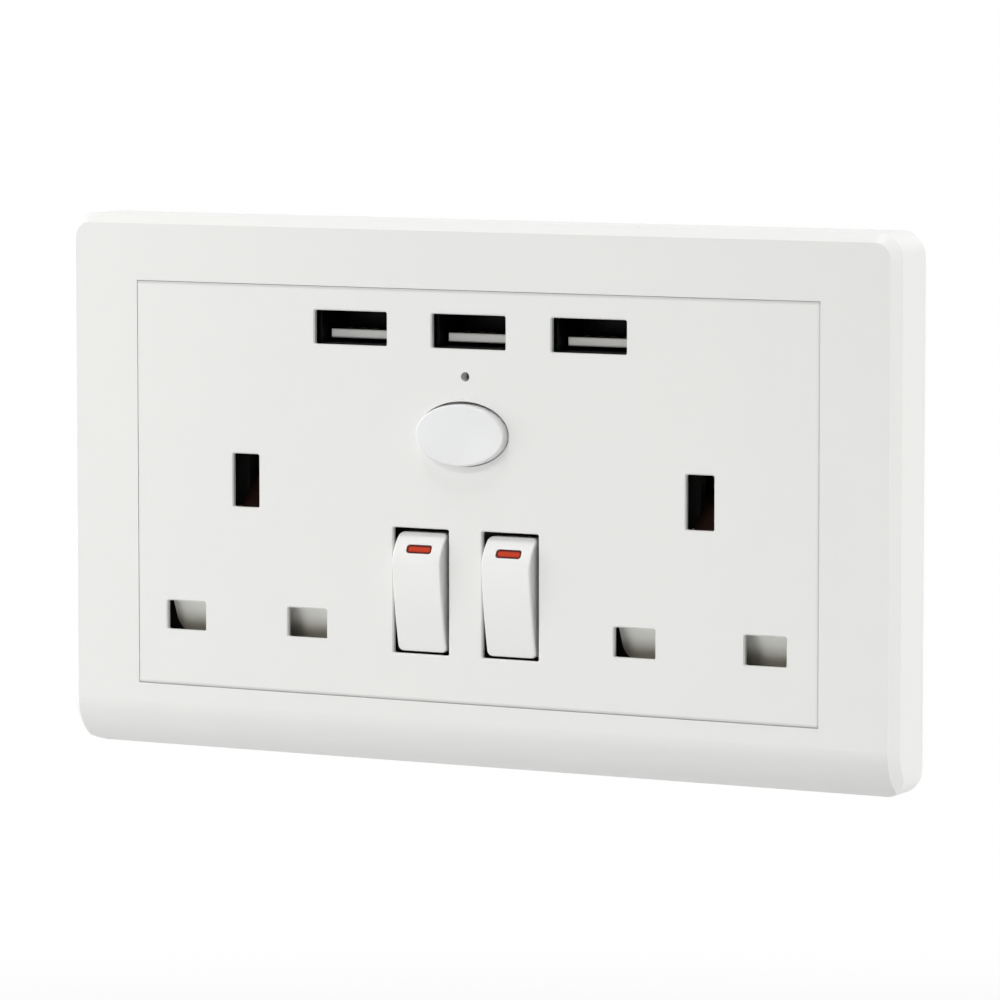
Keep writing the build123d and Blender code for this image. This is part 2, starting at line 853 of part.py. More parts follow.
# Live contacts: from each switch's fixed pad to the live clip of its socket
for side, switch_x, clip_x in zip(side_names, switch_places, live_places):
    lane_middle, lane_length = spanning(
        min(switch_x - rivet_radius, clip_x - clip_width / 2),
        max(switch_x + rivet_radius, clip_x + clip_width / 2),
    )
    tab_middle, tab_height = spanning(
        pin_row - clip_gap / 2 - clip_leaf - clip_bow, rivet_row + lane_depth / 2
    )
    leaves = clip_leaves(side_view(clip_x), Vector(0, pin_row), Vector(1, 0), live_web)
    with BuildPart() as live_contact:
        with BuildSketch(layer(live_web - strip)):
            with Locations((lane_middle, rivet_row)):
                Rectangle(lane_length, lane_depth)
            with Locations((clip_x, tab_middle)):
                Rectangle(clip_width, tab_height)
        extrude(amount=strip)
        with BuildSketch(layer(live_web)):
            with Locations((switch_x, rivet_row)):
                Circle(rivet_radius)
        extrude(amount=rivet_tip - rivet_gap - live_web)
        extrude(leaves, amount=clip_width / 2, both=True)
    keep(live_contact, f"live_contact_{side}")

# Live feed bar: round-topped posts in both moving contacts' grooves, and a tab on the live terminal
feed_middle, feed_length = spanning(
    switch_places[0] - feed_left_margin, terminal_pitch + clip_width / 2
)
feed_tab_middle, feed_tab_height = spanning(terminal_row, feed_row)
with BuildPart() as live_feed_bar:
    with BuildSketch(layer(feed_front - strip)):
        with Locations((feed_middle, feed_row)):
            Rectangle(feed_length, feed_depth)
        with Locations((terminal_pitch, feed_tab_middle)):
            Rectangle(clip_width, feed_tab_height)
    extrude(amount=strip)
    with BuildSketch(layer(feed_front)):
        with Locations(*switch_points):
            Rectangle(post_width, post_thickness)
    extrude(amount=post_height)
    with BuildSketch(*[side_view(x) for x in switch_places]):
        with Locations((contact_pivot, switch_row)):
            Circle(post_thickness / 2)
    extrude(amount=post_width / 2, both=True)
keep(live_feed_bar, "live_feed_bar")

# Neutral bar: one strip that joins both neutral clips and the neutral terminal
neutral_middle, neutral_length = spanning(
    neutral_places[0] - clip_width / 2, neutral_places[1] + clip_width / 2
)
neutral_tab_middle, neutral_tab_height = spanning(
    pin_row - clip_gap / 2 - clip_leaf - clip_bow, neutral_lane + neutral_lane_depth / 2
)
neutral_foot_middle, neutral_foot_height = spanning(terminal_row, neutral_lane)
neutral_leaves = [
    clip_leaves(side_view(x), Vector(0, pin_row), Vector(1, 0), neutral_web) for x in neutral_places
]
with BuildPart() as neutral_bar:
    with BuildSketch(layer(neutral_web - strip)):
        with Locations((neutral_middle, neutral_lane)):
            Rectangle(neutral_length, neutral_lane_depth)
        with Locations(*[(x, neutral_tab_middle) for x in neutral_places]):
            Rectangle(clip_width, neutral_tab_height)
        with Locations((-terminal_pitch, neutral_foot_middle)):
            Rectangle(clip_width, neutral_foot_height)
    extrude(amount=strip)
    for leaves in neutral_leaves:
        extrude(leaves, amount=clip_width / 2, both=True)
keep(neutral_bar, "neutral_bar")

# Earth bar: joins both earth clips and runs down to the earth terminal
earth_tab_middle, earth_tab_height = spanning(
    earth_lane - earth_lane_depth / 2, earth_row + earth_clip_width / 2
)
earth_stem_middle, earth_stem_height = spanning(terminal_row + terminal_depth / 2, earth_lane)
earth_tab_width = clip_gap + 2 * (clip_leaf + clip_bow)
earth_leaves = [
    clip_leaves(top_view(earth_row), Vector(x, 0), Vector(0, 1), earth_web) for x in socket_places
]
with BuildPart() as earth_bar:
    with BuildSketch(layer(earth_web - strip)):
        with Locations((0, earth_lane)):
            Rectangle(socket_pitch + earth_tab_width, earth_lane_depth)
        with Locations(*[(x, earth_tab_middle) for x in socket_places]):
            Rectangle(earth_tab_width, earth_tab_height)
        with Locations((0, earth_stem_middle)):
            Rectangle(earth_stem_width, earth_stem_height)
    extrude(amount=strip)
    for leaves in earth_leaves:
        extrude(leaves, amount=earth_clip_width / 2, both=True)
keep(earth_bar, "earth_bar")

# Terminal blocks, each with a wire bore from below and a clamping screw from behind
terminals = [
    ("neutral_terminal", -terminal_pitch, neutral_web - strip),
    ("earth_terminal", 0.0, neutral_web - strip),
    ("live_terminal", terminal_pitch, feed_front - strip),
]
for name, x, top in terminals:
    with BuildPart() as terminal:
        with BuildSketch(layer(floor_front)):
            with Locations((x, terminal_row)):
                Rectangle(terminal_width, terminal_depth)
        extrude(amount=top - floor_front)
        with BuildSketch(top_view(terminal_row)):
            with Locations((x, -wire_bore_sunk)):
                Circle(wire_bore_radius)
        extrude(amount=terminal_depth / 2, both=True, mode=Mode.SUBTRACT)
        with BuildSketch(layer(floor_front)):
            with Locations((x, terminal_row)):
                Circle(terminal_screw_radius + terminal_screw_clearance)
        extrude(amount=-wire_bore_sunk - floor_front, mode=Mode.SUBTRACT)
    keep(terminal, name)

screw_point = -wire_bore_sunk - wire_bore_radius - screw_point_gap
head_front = floor_front - terminal_screw_clearance
with BuildPart() as terminal_screws:
    with BuildSketch(layer(head_front)):
        with Locations(*[(x, terminal_row) for x in terminal_places]):
            Circle(terminal_screw_radius)
    extrude(amount=screw_point - head_front)
    with BuildSketch(layer(head_front)):
        with Locations(*[(x, terminal_row) for x in terminal_places]):
            Circle(terminal_screw_head_radius)
    extrude(amount=-terminal_screw_head)
    with BuildSketch(layer(head_front - terminal_screw_head)):
        with Locations(*[(x, terminal_row) for x in terminal_places]):
            Rectangle(2 * terminal_screw_head_radius, screw_slot_width)
    extrude(amount=screw_slot_depth, mode=Mode.SUBTRACT)
keep(terminal_screws, "terminal_screws")

# Assembly screws, driven from behind into the mounting plate's bosses
with BuildPart() as assembly_screws:
    with BuildSketch(layer(-screw_seat)):
        with Locations(*screw_points):
            Circle(screw_radius)
    extrude(amount=screw_seat + boss_end + pilot_depth - screw_point_room)
    with BuildSketch(layer(-screw_seat)):
        with Locations(*screw_points):
            Circle(screw_head_radius)
    extrude(amount=-screw_head_height)
    with BuildSketch(layer(-screw_seat - screw_head_height)):
        with Locations(*screw_points):
            Rectangle(screw_slot_share * screw_head_radius, screw_slot_width)
            Rectangle(screw_slot_width, screw_slot_share * screw_head_radius)
    extrude(amount=screw_slot_depth, mode=Mode.SUBTRACT)
keep(assembly_screws, "assembly_screws")

# Shutters, their cams and springs: an anchor plate whose cam the earth pin pushes down
for side, x in zip(side_names, socket_places):
    wing_middle, wing_height = spanning(wing_bottom, wing_top)
    stem_middle, stem_height = spanning(wing_top - shutter_cover, ramp_low)
    stem_window_middle, stem_window_height = spanning(window_low, window_high)
    with BuildPart() as shutter:
        with BuildSketch(layer(shutter_back)) as wing:
            with Locations((x, wing_middle)):
                Rectangle(2 * shutter_half_width, wing_height)
            fillet(wing.vertices().group_by(Axis.Y)[0], radius=shutter_corner)
        extrude(amount=shutter_front - shutter_back)
        with BuildSketch(side_view(x)):
            Polygon(
                (shutter_front, wing_top),
                (shutter_front - shutter_slope, wing_bottom),
                (panel_front, wing_bottom),
                (panel_front, wing_top),
                align=None,
            )
        extrude(amount=shutter_half_width, both=True, mode=Mode.SUBTRACT)
        with BuildSketch(layer(shutter_back)):
            with Locations((x, stem_middle)):
                Rectangle(shutter_stem_width, stem_height)
            with Locations((x, stem_window_middle)):
                Rectangle(stem_window_width, stem_window_height, mode=Mode.SUBTRACT)
            with Locations((x, ramp_low - cam_tongue_rise / 2)):
                Rectangle(cam_tongue_width, cam_tongue_rise, mode=Mode.SUBTRACT)
        extrude(amount=shutter_front - shutter_back)
    keep(shutter, f"shutter_{side}")

    with BuildPart() as shutter_cam:
        with BuildSketch(side_view(x)):
            Polygon(
                (shutter_front, ramp_low),
                (shutter_front - ramp_rise, ramp_low + ramp_rise),
                (shutter_front - ramp_rise - ramp_foot, ramp_low + ramp_rise),
                (shutter_front - ramp_rise - ramp_foot, ramp_low + ramp_rise - ramp_foot),
                (shutter_back, ramp_low),
                align=None,
            )
        extrude(amount=ramp_width / 2, both=True)
        with BuildSketch(layer(shutter_back)):
            with Locations((x, ramp_low - cam_tongue_rise / 2)):
                Rectangle(cam_tongue_width - 2 * cam_clearance, cam_tongue_rise)
        extrude(amount=shutter_front - shutter_back)
    keep(shutter_cam, f"shutter_cam_{side}")

    spring_seat = Plane(
        origin=(x, -(shutter_back + shutter_front) / 2, peg_low + peg_height), z_dir=(0, 0, 1)
    )
    shutter_spring = coil_spring(
        spring_seat,
        spring_play,
        window_high - peg_low - peg_height - 2 * spring_play,
        shutter_spring_radius,
        shutter_spring_wire,
        shutter_spring_turns,
    )
    keep(shutter_spring, f"shutter_spring_{side}")

# Charging ports: folded shell, moulded tongue and four contacts each
tongue_row = usb_row - usb_tongue_drop
tongue_tip = usb_mouth - usb_tongue_sunk
block_front = board_front + usb_block_depth
finger_end = usb_mouth - usb_finger_from_mouth
finger_middle, finger_length = spanning(finger_end - usb_finger_length, finger_end)
slit_middle, slit_length = spanning(finger_end - usb_finger_length, finger_end + usb_finger_slit)
for port, x in zip(port_names, usb_places):
    shell_height = usb_inner_height + 2 * usb_sheet
    with BuildPart() as usb_shell:
        with BuildSketch(layer(board_front)):
            with Locations((x, usb_row)):
                Rectangle(usb_inner_width + 2 * usb_sheet, shell_height)
                Rectangle(usb_inner_width, usb_inner_height, mode=Mode.SUBTRACT)
        extrude(amount=usb_shell_length)
        with BuildSketch(top_view(usb_row)):
            with Locations(*[(x + place, slit_middle) for place in usb_finger_places]):
                Rectangle(usb_finger_width + 2 * usb_finger_slit, slit_length)
            with Locations(*[(x + place, finger_middle) for place in usb_finger_places]):
                Rectangle(usb_finger_width, finger_length, mode=Mode.SUBTRACT)
        extrude(amount=shell_height / 2, both=True, mode=Mode.SUBTRACT)
    keep(usb_shell, f"usb_shell_{port}")

    with BuildPart() as usb_tongue:
        with BuildSketch(layer(board_front)):
            with Locations((x, usb_row)):
                Rectangle(
                    usb_inner_width - 2 * usb_block_clearance, usb_inner_height - 2 * usb_block_clearance
                )
        extrude(amount=usb_block_depth)
        with BuildSketch(layer(block_front)):
            with Locations((x, tongue_row)):
                Rectangle(usb_tongue_width, usb_tongue_thickness)
        extrude(amount=tongue_tip - block_front)
        chamfer(usb_tongue.faces().sort_by(Axis.Y)[0].edges(), length=usb_tongue_break)
    keep(usb_tongue, f"usb_tongue_{port}")

    with BuildPart() as usb_contacts:
        with BuildSketch(layer(block_front)):
            contact_row = tongue_row + usb_tongue_thickness / 2 + usb_contact_thickness / 2
            with Locations(*[(x + place, contact_row) for place in usb_contact_places]):
                Rectangle(usb_contact_width, usb_contact_thickness)
        extrude(amount=tongue_tip - usb_contact_short - block_front)
    keep(usb_contacts, f"usb_contacts_{port}")

# Charger board
with BuildPart() as usb_board:
    with BuildSketch(layer(board_back)):
        with Locations((0, board_middle)):
            Rectangle(board_width, board_top - board_bottom)
    extrude(amount=board_thickness)
keep(usb_board, "usb_board")

# Charger button: an oval cap with a retaining flange and a socket for the switch plunger
flange_top = panel_back - button_flange_gap
cap_floor = panel_front + button_proud - button_wall
body_top = board_front + switch_body_height
boss_foot = body_top + button_travel + button_boss_gap
plunger_top = body_top + switch_plunger_outside
with BuildPart() as usb_button:
    with BuildSketch(layer(flange_top - button_flange_thickness)):
        with Locations(button_point):
            Ellipse(button_width / 2, button_height / 2)
    extrude(amount=panel_front + button_proud - flange_top + button_flange_thickness)
    with Locations((button_middle, button_dome - panel_front - button_proud, button_row)):
        Sphere(button_dome, mode=Mode.INTERSECT)
    fillet(usb_button.faces().sort_by(Axis.Y)[0].edges(), radius=button_crown)
    with BuildSketch(layer(flange_top - button_flange_thickness)):
        with Locations(button_point):
            Ellipse(button_width / 2 + button_flange, button_height / 2 + button_flange)
    extrude(amount=button_flange_thickness)
    with BuildSketch(layer(flange_top - button_flange_thickness)):
        with Locations(button_point):
            Ellipse(button_width / 2 - button_wall, button_height / 2 - button_wall)
    extrude(amount=cap_floor - flange_top + button_flange_thickness, mode=Mode.SUBTRACT)
    with BuildSketch(layer(boss_foot)):
        with Locations(button_point):
            Circle(button_boss_radius)
    extrude(amount=cap_floor - boss_foot)
    with BuildSketch(layer(boss_foot)):
        with Locations(button_point):
            Rectangle(
                switch_plunger_size + 2 * switch_plunger_clearance,
                switch_plunger_size + 2 * switch_plunger_clearance,
            )
    extrude(amount=plunger_top - boss_foot, mode=Mode.SUBTRACT)
keep(usb_button, "usb_button")

with BuildPart() as push_switch_body:
    with BuildSketch(layer(board_front)):
        with Locations(button_point):
            Rectangle(switch_body_size, switch_body_size)
    extrude(amount=switch_body_height)
    with BuildSketch(layer(board_front + switch_bore_floor)):
        with Locations(button_point):
            Rectangle(
                switch_plunger_size + 2 * switch_plunger_clearance,
                switch_plunger_size + 2 * switch_plunger_clearance,
            )
    extrude(amount=switch_body_height, mode=Mode.SUBTRACT)
keep(push_switch_body, "push_switch_body")

with BuildPart() as push_switch_plunger:
    with BuildSketch(layer(body_top - switch_plunger_inside)):
        with Locations(button_point):
            Rectangle(switch_plunger_size, switch_plunger_size)
    extrude(amount=switch_plunger_inside + switch_plunger_outside)
keep(push_switch_plunger, "push_switch_plunger")

# Status light behind its pin-hole
led_top = panel_back - led_gap
led_foot = led_top - led_height
with BuildPart() as status_led:
    with BuildSketch(layer(led_foot)):
        with Locations(light_point):
            Circle(led_radius)
    extrude(amount=led_height)
    fillet(status_led.edges().sort_by(Axis.Y)[0], radius=dome_share * led_radius)
    with BuildSketch(layer(led_foot)):
        with Locations(light_point):
            Circle(led_radius + led_flange)
    extrude(amount=led_flange_height)
keep(status_led, "status_led")

with BuildPart() as led_leads:
    with BuildSketch(layer(board_front)):
        with GridLocations(led_lead_pitch, 1, 2, 1):
            with Locations(light_point):
                Rectangle(led_lead, led_lead)
    extrude(amount=led_foot - board_front)
keep(led_leads, "led_leads")

# Components on the back of the board
core_back = board_back - winding_overhang - core_depth
window_depth = core_depth - 2 * core_limb
with BuildPart() as transformer_core:
    with BuildSketch(layer(core_back)):
        with Locations((transformer_x, transformer_z)):
            Rectangle(core_width, core_height)
    extrude(amount=core_depth)
    with BuildSketch(top_view(transformer_z)):
        with Locations(
            *[
                (transformer_x + way * (core_width - core_limb) / 4, core_back + core_depth / 2)
                for way in (-1, 1)
            ]
        ):
            Rectangle((core_width - 3 * core_limb) / 2, window_depth)
    extrude(amount=core_height / 2, both=True, mode=Mode.SUBTRACT)
keep(transformer_core, "transformer_core")

with BuildPart() as transformer_winding:
    coil_width = core_width - 2 * core_limb - 2 * winding_clearance
    with BuildSketch(layer(core_back + core_limb + winding_clearance)):
        with Locations((transformer_x, transformer_z)):
            Rectangle(coil_width, core_height + 2 * winding_overhang)
            Rectangle(
                core_limb + 2 * winding_clearance,
                core_height + 2 * winding_clearance,
                mode=Mode.SUBTRACT,
            )
    extrude(amount=window_depth - 2 * winding_clearance)
    with BuildSketch(layer(core_back + core_limb + winding_clearance)):
        for way in (-1, 1):
            with Locations((transformer_x, transformer_z + way * (core_height + winding_overhang) / 2)):
                Rectangle(coil_width, winding_overhang - 2 * winding_clearance)
    extrude(amount=board_back - core_back - core_limb - winding_clearance)
keep(transformer_winding, "transformer_winding")

with BuildPart() as input_capacitor:
    can = Plane(
        origin=(input_capacitor_x, -(board_back - input_capacitor_radius), input_capacitor_z),
        z_dir=(1, 0, 0),
    )
    with BuildSketch(can.offset(-input_capacitor_length / 2)):
        Circle(input_capacitor_radius)
    extrude(amount=input_capacitor_length)
    chamfer(input_capacitor.edges(), length=capacitor_rim)
keep(input_capacitor, "input_capacitor")

with BuildPart() as output_capacitors:
    with BuildSketch(layer(board_back)):
        with Locations(
            *[
                (output_capacitor_x + way * output_capacitor_pitch / 2, output_capacitor_z)
                for way in (-1, 1)
            ]
        ):
            Circle(output_capacitor_radius)
    extrude(amount=-output_capacitor_length)
    chamfer(output_capacitors.faces().group_by(Axis.Y)[-1].edges(), length=capacitor_rim)
keep(output_capacitors, "output_capacitors")

with BuildPart() as control_chips:
    with BuildSketch(layer(board_back)):
        with Locations(*[(chip_x + way * chip_pitch / 2, chip_z) for way in (-1, 1)]):
            Rectangle(chip_width, chip_height)
    extrude(amount=-chip_depth)
keep(control_chips, "control_chips")


def inner_lead(x, height, start, end):
    """Insulated lead that leaves a bar's upper edge and turns to the back of the board."""
    with BuildPart() as lead:
        with BuildLine() as route:
            FilletPolyline(
                (x, -height, start),
                (x, -height, end),
                (x, -board_back, end),
                radius=lead_bend,
            )
        with BuildSketch(Plane(origin=route.line @ 0, z_dir=route.line % 0)):
            Circle(lead_radius)
        sweep(path=route.line)
    return lead


# Leads from the bars to the charger board
live_lead = inner_lead(
    live_lead_x, feed_front - strip / 2, feed_row + feed_depth / 2, board_bottom + lead_end
)
keep(live_lead, "usb_live_lead")
neutral_lead = inner_lead(
    neutral_lead_x,
    neutral_web - strip / 2,
    neutral_lane + neutral_lane_depth / 2,
    board_bottom + lead_end,
)
keep(neutral_lead, "usb_neutral_lead")
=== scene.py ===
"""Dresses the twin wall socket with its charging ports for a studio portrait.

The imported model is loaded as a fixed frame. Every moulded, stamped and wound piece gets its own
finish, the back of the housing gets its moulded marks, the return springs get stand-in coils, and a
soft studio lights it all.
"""

from __future__ import annotations

import json
import logging
import math
from dataclasses import dataclass, field
from enum import Enum

import bmesh
import bpy
from mathutils import Euler, Matrix, Vector

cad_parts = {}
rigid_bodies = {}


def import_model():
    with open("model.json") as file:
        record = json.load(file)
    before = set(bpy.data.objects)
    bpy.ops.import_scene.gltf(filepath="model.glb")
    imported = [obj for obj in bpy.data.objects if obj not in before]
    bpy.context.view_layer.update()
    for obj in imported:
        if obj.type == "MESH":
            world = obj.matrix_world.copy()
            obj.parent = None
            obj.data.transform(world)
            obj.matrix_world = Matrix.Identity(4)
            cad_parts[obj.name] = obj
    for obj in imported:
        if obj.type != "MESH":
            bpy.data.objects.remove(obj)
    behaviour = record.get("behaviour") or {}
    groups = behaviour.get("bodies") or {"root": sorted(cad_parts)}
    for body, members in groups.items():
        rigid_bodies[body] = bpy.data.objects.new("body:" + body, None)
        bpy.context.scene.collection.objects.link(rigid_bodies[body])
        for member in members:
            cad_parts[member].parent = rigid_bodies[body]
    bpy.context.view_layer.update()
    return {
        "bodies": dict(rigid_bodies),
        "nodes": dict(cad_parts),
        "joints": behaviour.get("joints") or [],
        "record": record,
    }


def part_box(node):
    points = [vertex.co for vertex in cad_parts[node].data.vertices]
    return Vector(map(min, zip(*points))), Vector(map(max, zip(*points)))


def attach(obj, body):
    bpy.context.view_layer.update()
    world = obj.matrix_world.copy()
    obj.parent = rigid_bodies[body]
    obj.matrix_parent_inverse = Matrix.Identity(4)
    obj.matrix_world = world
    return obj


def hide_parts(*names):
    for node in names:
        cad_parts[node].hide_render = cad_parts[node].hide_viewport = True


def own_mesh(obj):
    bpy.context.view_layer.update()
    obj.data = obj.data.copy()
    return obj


LOG = logging.getLogger("wall_socket")

Colour = tuple[float, float, float]
Triple = tuple[float, float, float]

PURE_WHITE: Colour = (1.0, 1.0, 1.0)
SOCKET_WHITE: Colour = (0.830, 0.830, 0.815)

# The value that a noise pattern swings about
NOISE_MIDDLE = 0.5


class Side(Enum):
    """The two halves of the twin socket."""

    LEFT = "left"
    RIGHT = "right"


class Axis(Enum):
    """The socket's axes: across, front to back, and up."""

    X = "X"
    Y = "Y"
    Z = "Z"


@dataclass(frozen=True)
class Noise:
    """A soft pattern: cycles per metre, octaves of finer noise, and a stretch along each axis."""

    scale: float
    octaves: float
    stretch: Triple | None = None


@dataclass(frozen=True)
class Bands:
    """Parallel bands along one axis: their scale, how far noise bends them, and its octaves."""

    axis: Axis
    scale: float
    bend: float
    octaves: float


class Wire:
    """A shader value that Python's operators combine by adding Math nodes."""

    def __init__(self, graph: Graph, socket: bpy.types.NodeSocket) -> None:
        """Holds a socket of a graph.

        Args:
            graph: The graph that owns the socket.
            socket: The output socket that carries the value.
        """
        self.graph = graph
        self.socket = socket

    def _math(self, operation: str, first: Wire | float, second: Wire | float) -> Wire:
        """Adds one Math node.

        Args:
            operation: Blender's name of the operation.
            first: The first operand.
            second: The second operand.

        Returns:
            The node's result.
        """
        return self.graph.wire("ShaderNodeMath", {"operation": operation}, {0: first, 1: second})

    def __add__(self, other: Wire | float) -> Wire:
        """Sum."""
        return self._math("ADD", self, other)

    __radd__ = __add__

    def __sub__(self, other: Wire | float) -> Wire:
        """Difference."""
        return self._math("SUBTRACT", self, other)

    def __rsub__(self, other: float) -> Wire:
        """Difference from a number."""
        return self._math("SUBTRACT", other, self)

    def __mul__(self, other: Wire | float) -> Wire:
        """Product."""
        return self._math("MULTIPLY", self, other)

    __rmul__ = __mul__

    def __pow__(self, other: float) -> Wire:
        """Power."""
        return self._math("POWER", self, other)

    def __lt__(self, other: float) -> Wire:
        """One where this value is the lesser."""
        return self._math("LESS_THAN", self, other)

    def __abs__(self) -> Wire:
        """Size without sign."""
        return self._math("ABSOLUTE", self, 0.0)

    def above(self, floor: float) -> Wire:
        """Amount by which the value passes a floor, or nothing below it.

        Args:
            floor: The floor.

        Returns:
            The amount.
        """
        return self._math("MAXIMUM", self - floor, 0.0)

    def swing(self, amount: float) -> Wire:
        """Departure of a noise from its middle, scaled.

        Args:
            amount: What the whole span of the noise comes to.

        Returns:
            The departure, up or down.
        """
        return (self - NOISE_MIDDLE) * amount

    def ease(self, start: float, end: float) -> Wire:
        """Smooth step from 0 at a start to 1 at an end.

        Args:
            start: The value that gives 0.
            end: The value that gives 1.

        Returns:
            The step.
        """
        return self.graph.wire(
            "ShaderNodeMapRange", {"interpolation_type": "SMOOTHSTEP"}, {0: self, 1: start, 2: end}
        )


class Graph:
    """The node tree of one material or world, cleared and ready to fill."""

    def __init__(self, tree: bpy.types.NodeTree) -> None:
        """Empties a node tree.

        Args:
            tree: The tree to fill.
        """
        self.tree = tree
        tree.nodes.clear()

    def feed(self, socket: bpy.types.NodeSocket, value: object) -> None:
        """Links a value to an input socket, or sets it there.

        Args:
            socket: The input socket.
            value: A wire, a node's output or a plain value, a colour as three channels.
        """
        source = value.socket if isinstance(value, Wire) else value
        if isinstance(source, bpy.types.NodeSocket):
            self.tree.links.new(source, socket)
        elif socket.type == "RGBA":
            socket.default_value = (*source, 1.0)
        else:
            socket.default_value = source

    def node(
        self,
        kind: str,
        settings: dict[str, object] | None = None,
        inputs: dict[object, object] | None = None,
    ) -> bpy.types.Node:
        """Adds a node.

        Args:
            kind: Blender's type name of the node.
            settings: Properties set before the sockets.
            inputs: Values or links by socket name or index.

        Returns:
            The new node.
        """
        node = self.tree.nodes.new(kind)
        for name, value in (settings or {}).items():
            setattr(node, name, value)
        for key, value in (inputs or {}).items():
            self.feed(node.inputs[key], value)
        return node

    def wire(
        self,
        kind: str,
        settings: dict[str, object] | None = None,
        inputs: dict[object, object] | None = None,
        output: str | int = 0,
    ) -> Wire:
        """Adds a node and wraps one of its outputs.

        Args:
            kind: Blender's type name of the node.
            settings: Properties set before the sockets.
            inputs: Values or links by socket name or index.
            output: Name or index of the output wanted.

        Returns:
            The wrapped output.
        """
        return Wire(self, self.node(kind, settings, inputs).outputs[output])

    def place(self) -> Wire:
        """Object coordinates, which every pattern here reads."""
        return self.wire("ShaderNodeTexCoord", output="Object")

    def axis(self, axis: Axis) -> Wire:
        """One object coordinate, in metres."""
        return self.wire("ShaderNodeSeparateXYZ", inputs={0: self.place()}, output=axis.value)

    def noise(self, pattern: Noise) -> Wire:
        """Draws a noise pattern.

        Args:
            pattern: The pattern.

        Returns:
            The noise, from 0 to 1.
        """
        vector = self.place()
        if pattern.stretch:
            vector = self.wire("ShaderNodeMapping", inputs={"Vector": vector, "Scale": pattern.stretch})
        sockets = {"Vector": vector, "Scale": pattern.scale, "Detail": pattern.octaves}
        return self.wire("ShaderNodeTexNoise", inputs=sockets, output="Fac")

    def bands(self, pattern: Bands) -> Wire:
        """Draws a pattern of bands.

        Args:
            pattern: The pattern.

        Returns:
            The bands, from 0 to 1.
        """
        return self.wire(
            "ShaderNodeTexWave",
            {"wave_type": "BANDS", "bands_direction": pattern.axis.value},
            {
                "Vector": self.place(),
                "Scale": pattern.scale,
                "Distortion": pattern.bend,
                "Detail": pattern.octaves,
            },
            "Fac",
        )

    def blend(self, factor: Wire, first: Colour | Wire, second: Colour | Wire) -> Wire:
        """Mixes two colours.

        Args:
            factor: Share of the second colour.
            first: The colour at 0.
            second: The colour at 1.

        Returns:
            The mixed colour.
        """
        node = self.node("ShaderNodeMix", {"data_type": "RGBA"}, {0: factor})
        ends = [socket for socket in node.inputs if socket.type == "RGBA"]
        for socket, colour in zip(ends, (first, second)):
            self.feed(socket, colour)
        return Wire(self, next(socket for socket in node.outputs if socket.type == "RGBA"))

    def bump(self, height: Wire, relief: float) -> Wire:
        """Turns a height into a surface normal.

        Args:
            height: Height from 0 to 1.
            relief: Distance in metres that a height of 1 stands for.

        Returns:
            The normal.
        """
        return self.wire("ShaderNodeBump", inputs={"Height": height, "Distance": relief}, output="Normal")

    def surface(self, **inputs: object) -> None:
        """Ends the material in one Principled shader.

        Args:
            inputs: Values or links by socket name, with underscores for spaces.
        """
        named = {name.replace("_", " "): value for name, value in inputs.items()}
        shader = self.node("ShaderNodeBsdfPrincipled", inputs=named)
        self.node("ShaderNodeOutputMaterial", inputs={"Surface": shader.outputs[0]})


def new_material(name: str) -> tuple[bpy.types.Material, Graph]:
    """Makes an empty node material.

    Args:
        name: The material's name.

    Returns:
        The material and its graph.
    """
    material = bpy.data.materials.new(name)
    material.use_nodes = True
    return material, Graph(material.node_tree)


def placed(data: bpy.types.ID) -> bpy.types.Object:
    """Makes an object of a mesh, text, lamp or camera and links it into the scene.

    Args:
        data: What the object holds, and whose name it takes.

    Returns:
        The linked object, at the origin.
    """
    thing = bpy.data.objects.new(data.name, data)
    bpy.context.scene.collection.objects.link(thing)
    return thing


def meshed(work: bmesh.types.BMesh, name: str) -> bpy.types.Object:
    """Turns a finished bmesh into an object.

    Args:
        work: The bmesh, which is freed.
        name: The name of the mesh and of its object.

    Returns:
        The linked object, at the origin.
    """
    mesh = bpy.data.meshes.new(name)
    work.to_mesh(mesh)
    work.free()
    return placed(mesh)


@dataclass(frozen=True)
class Finish:
    """A surface finish, which becomes one material."""

    name: str

    def build(self) -> bpy.types.Material:
        """Builds the material.

        Returns:
            The finished material.
        """
        material, graph = new_material(self.name)
        self.paint(graph)
        return material

    def paint(self, graph: Graph) -> None:
        """Fills the material's graph, each finish in its own way.

        Args:
            graph: The graph to fill.
        """
        raise NotImplementedError


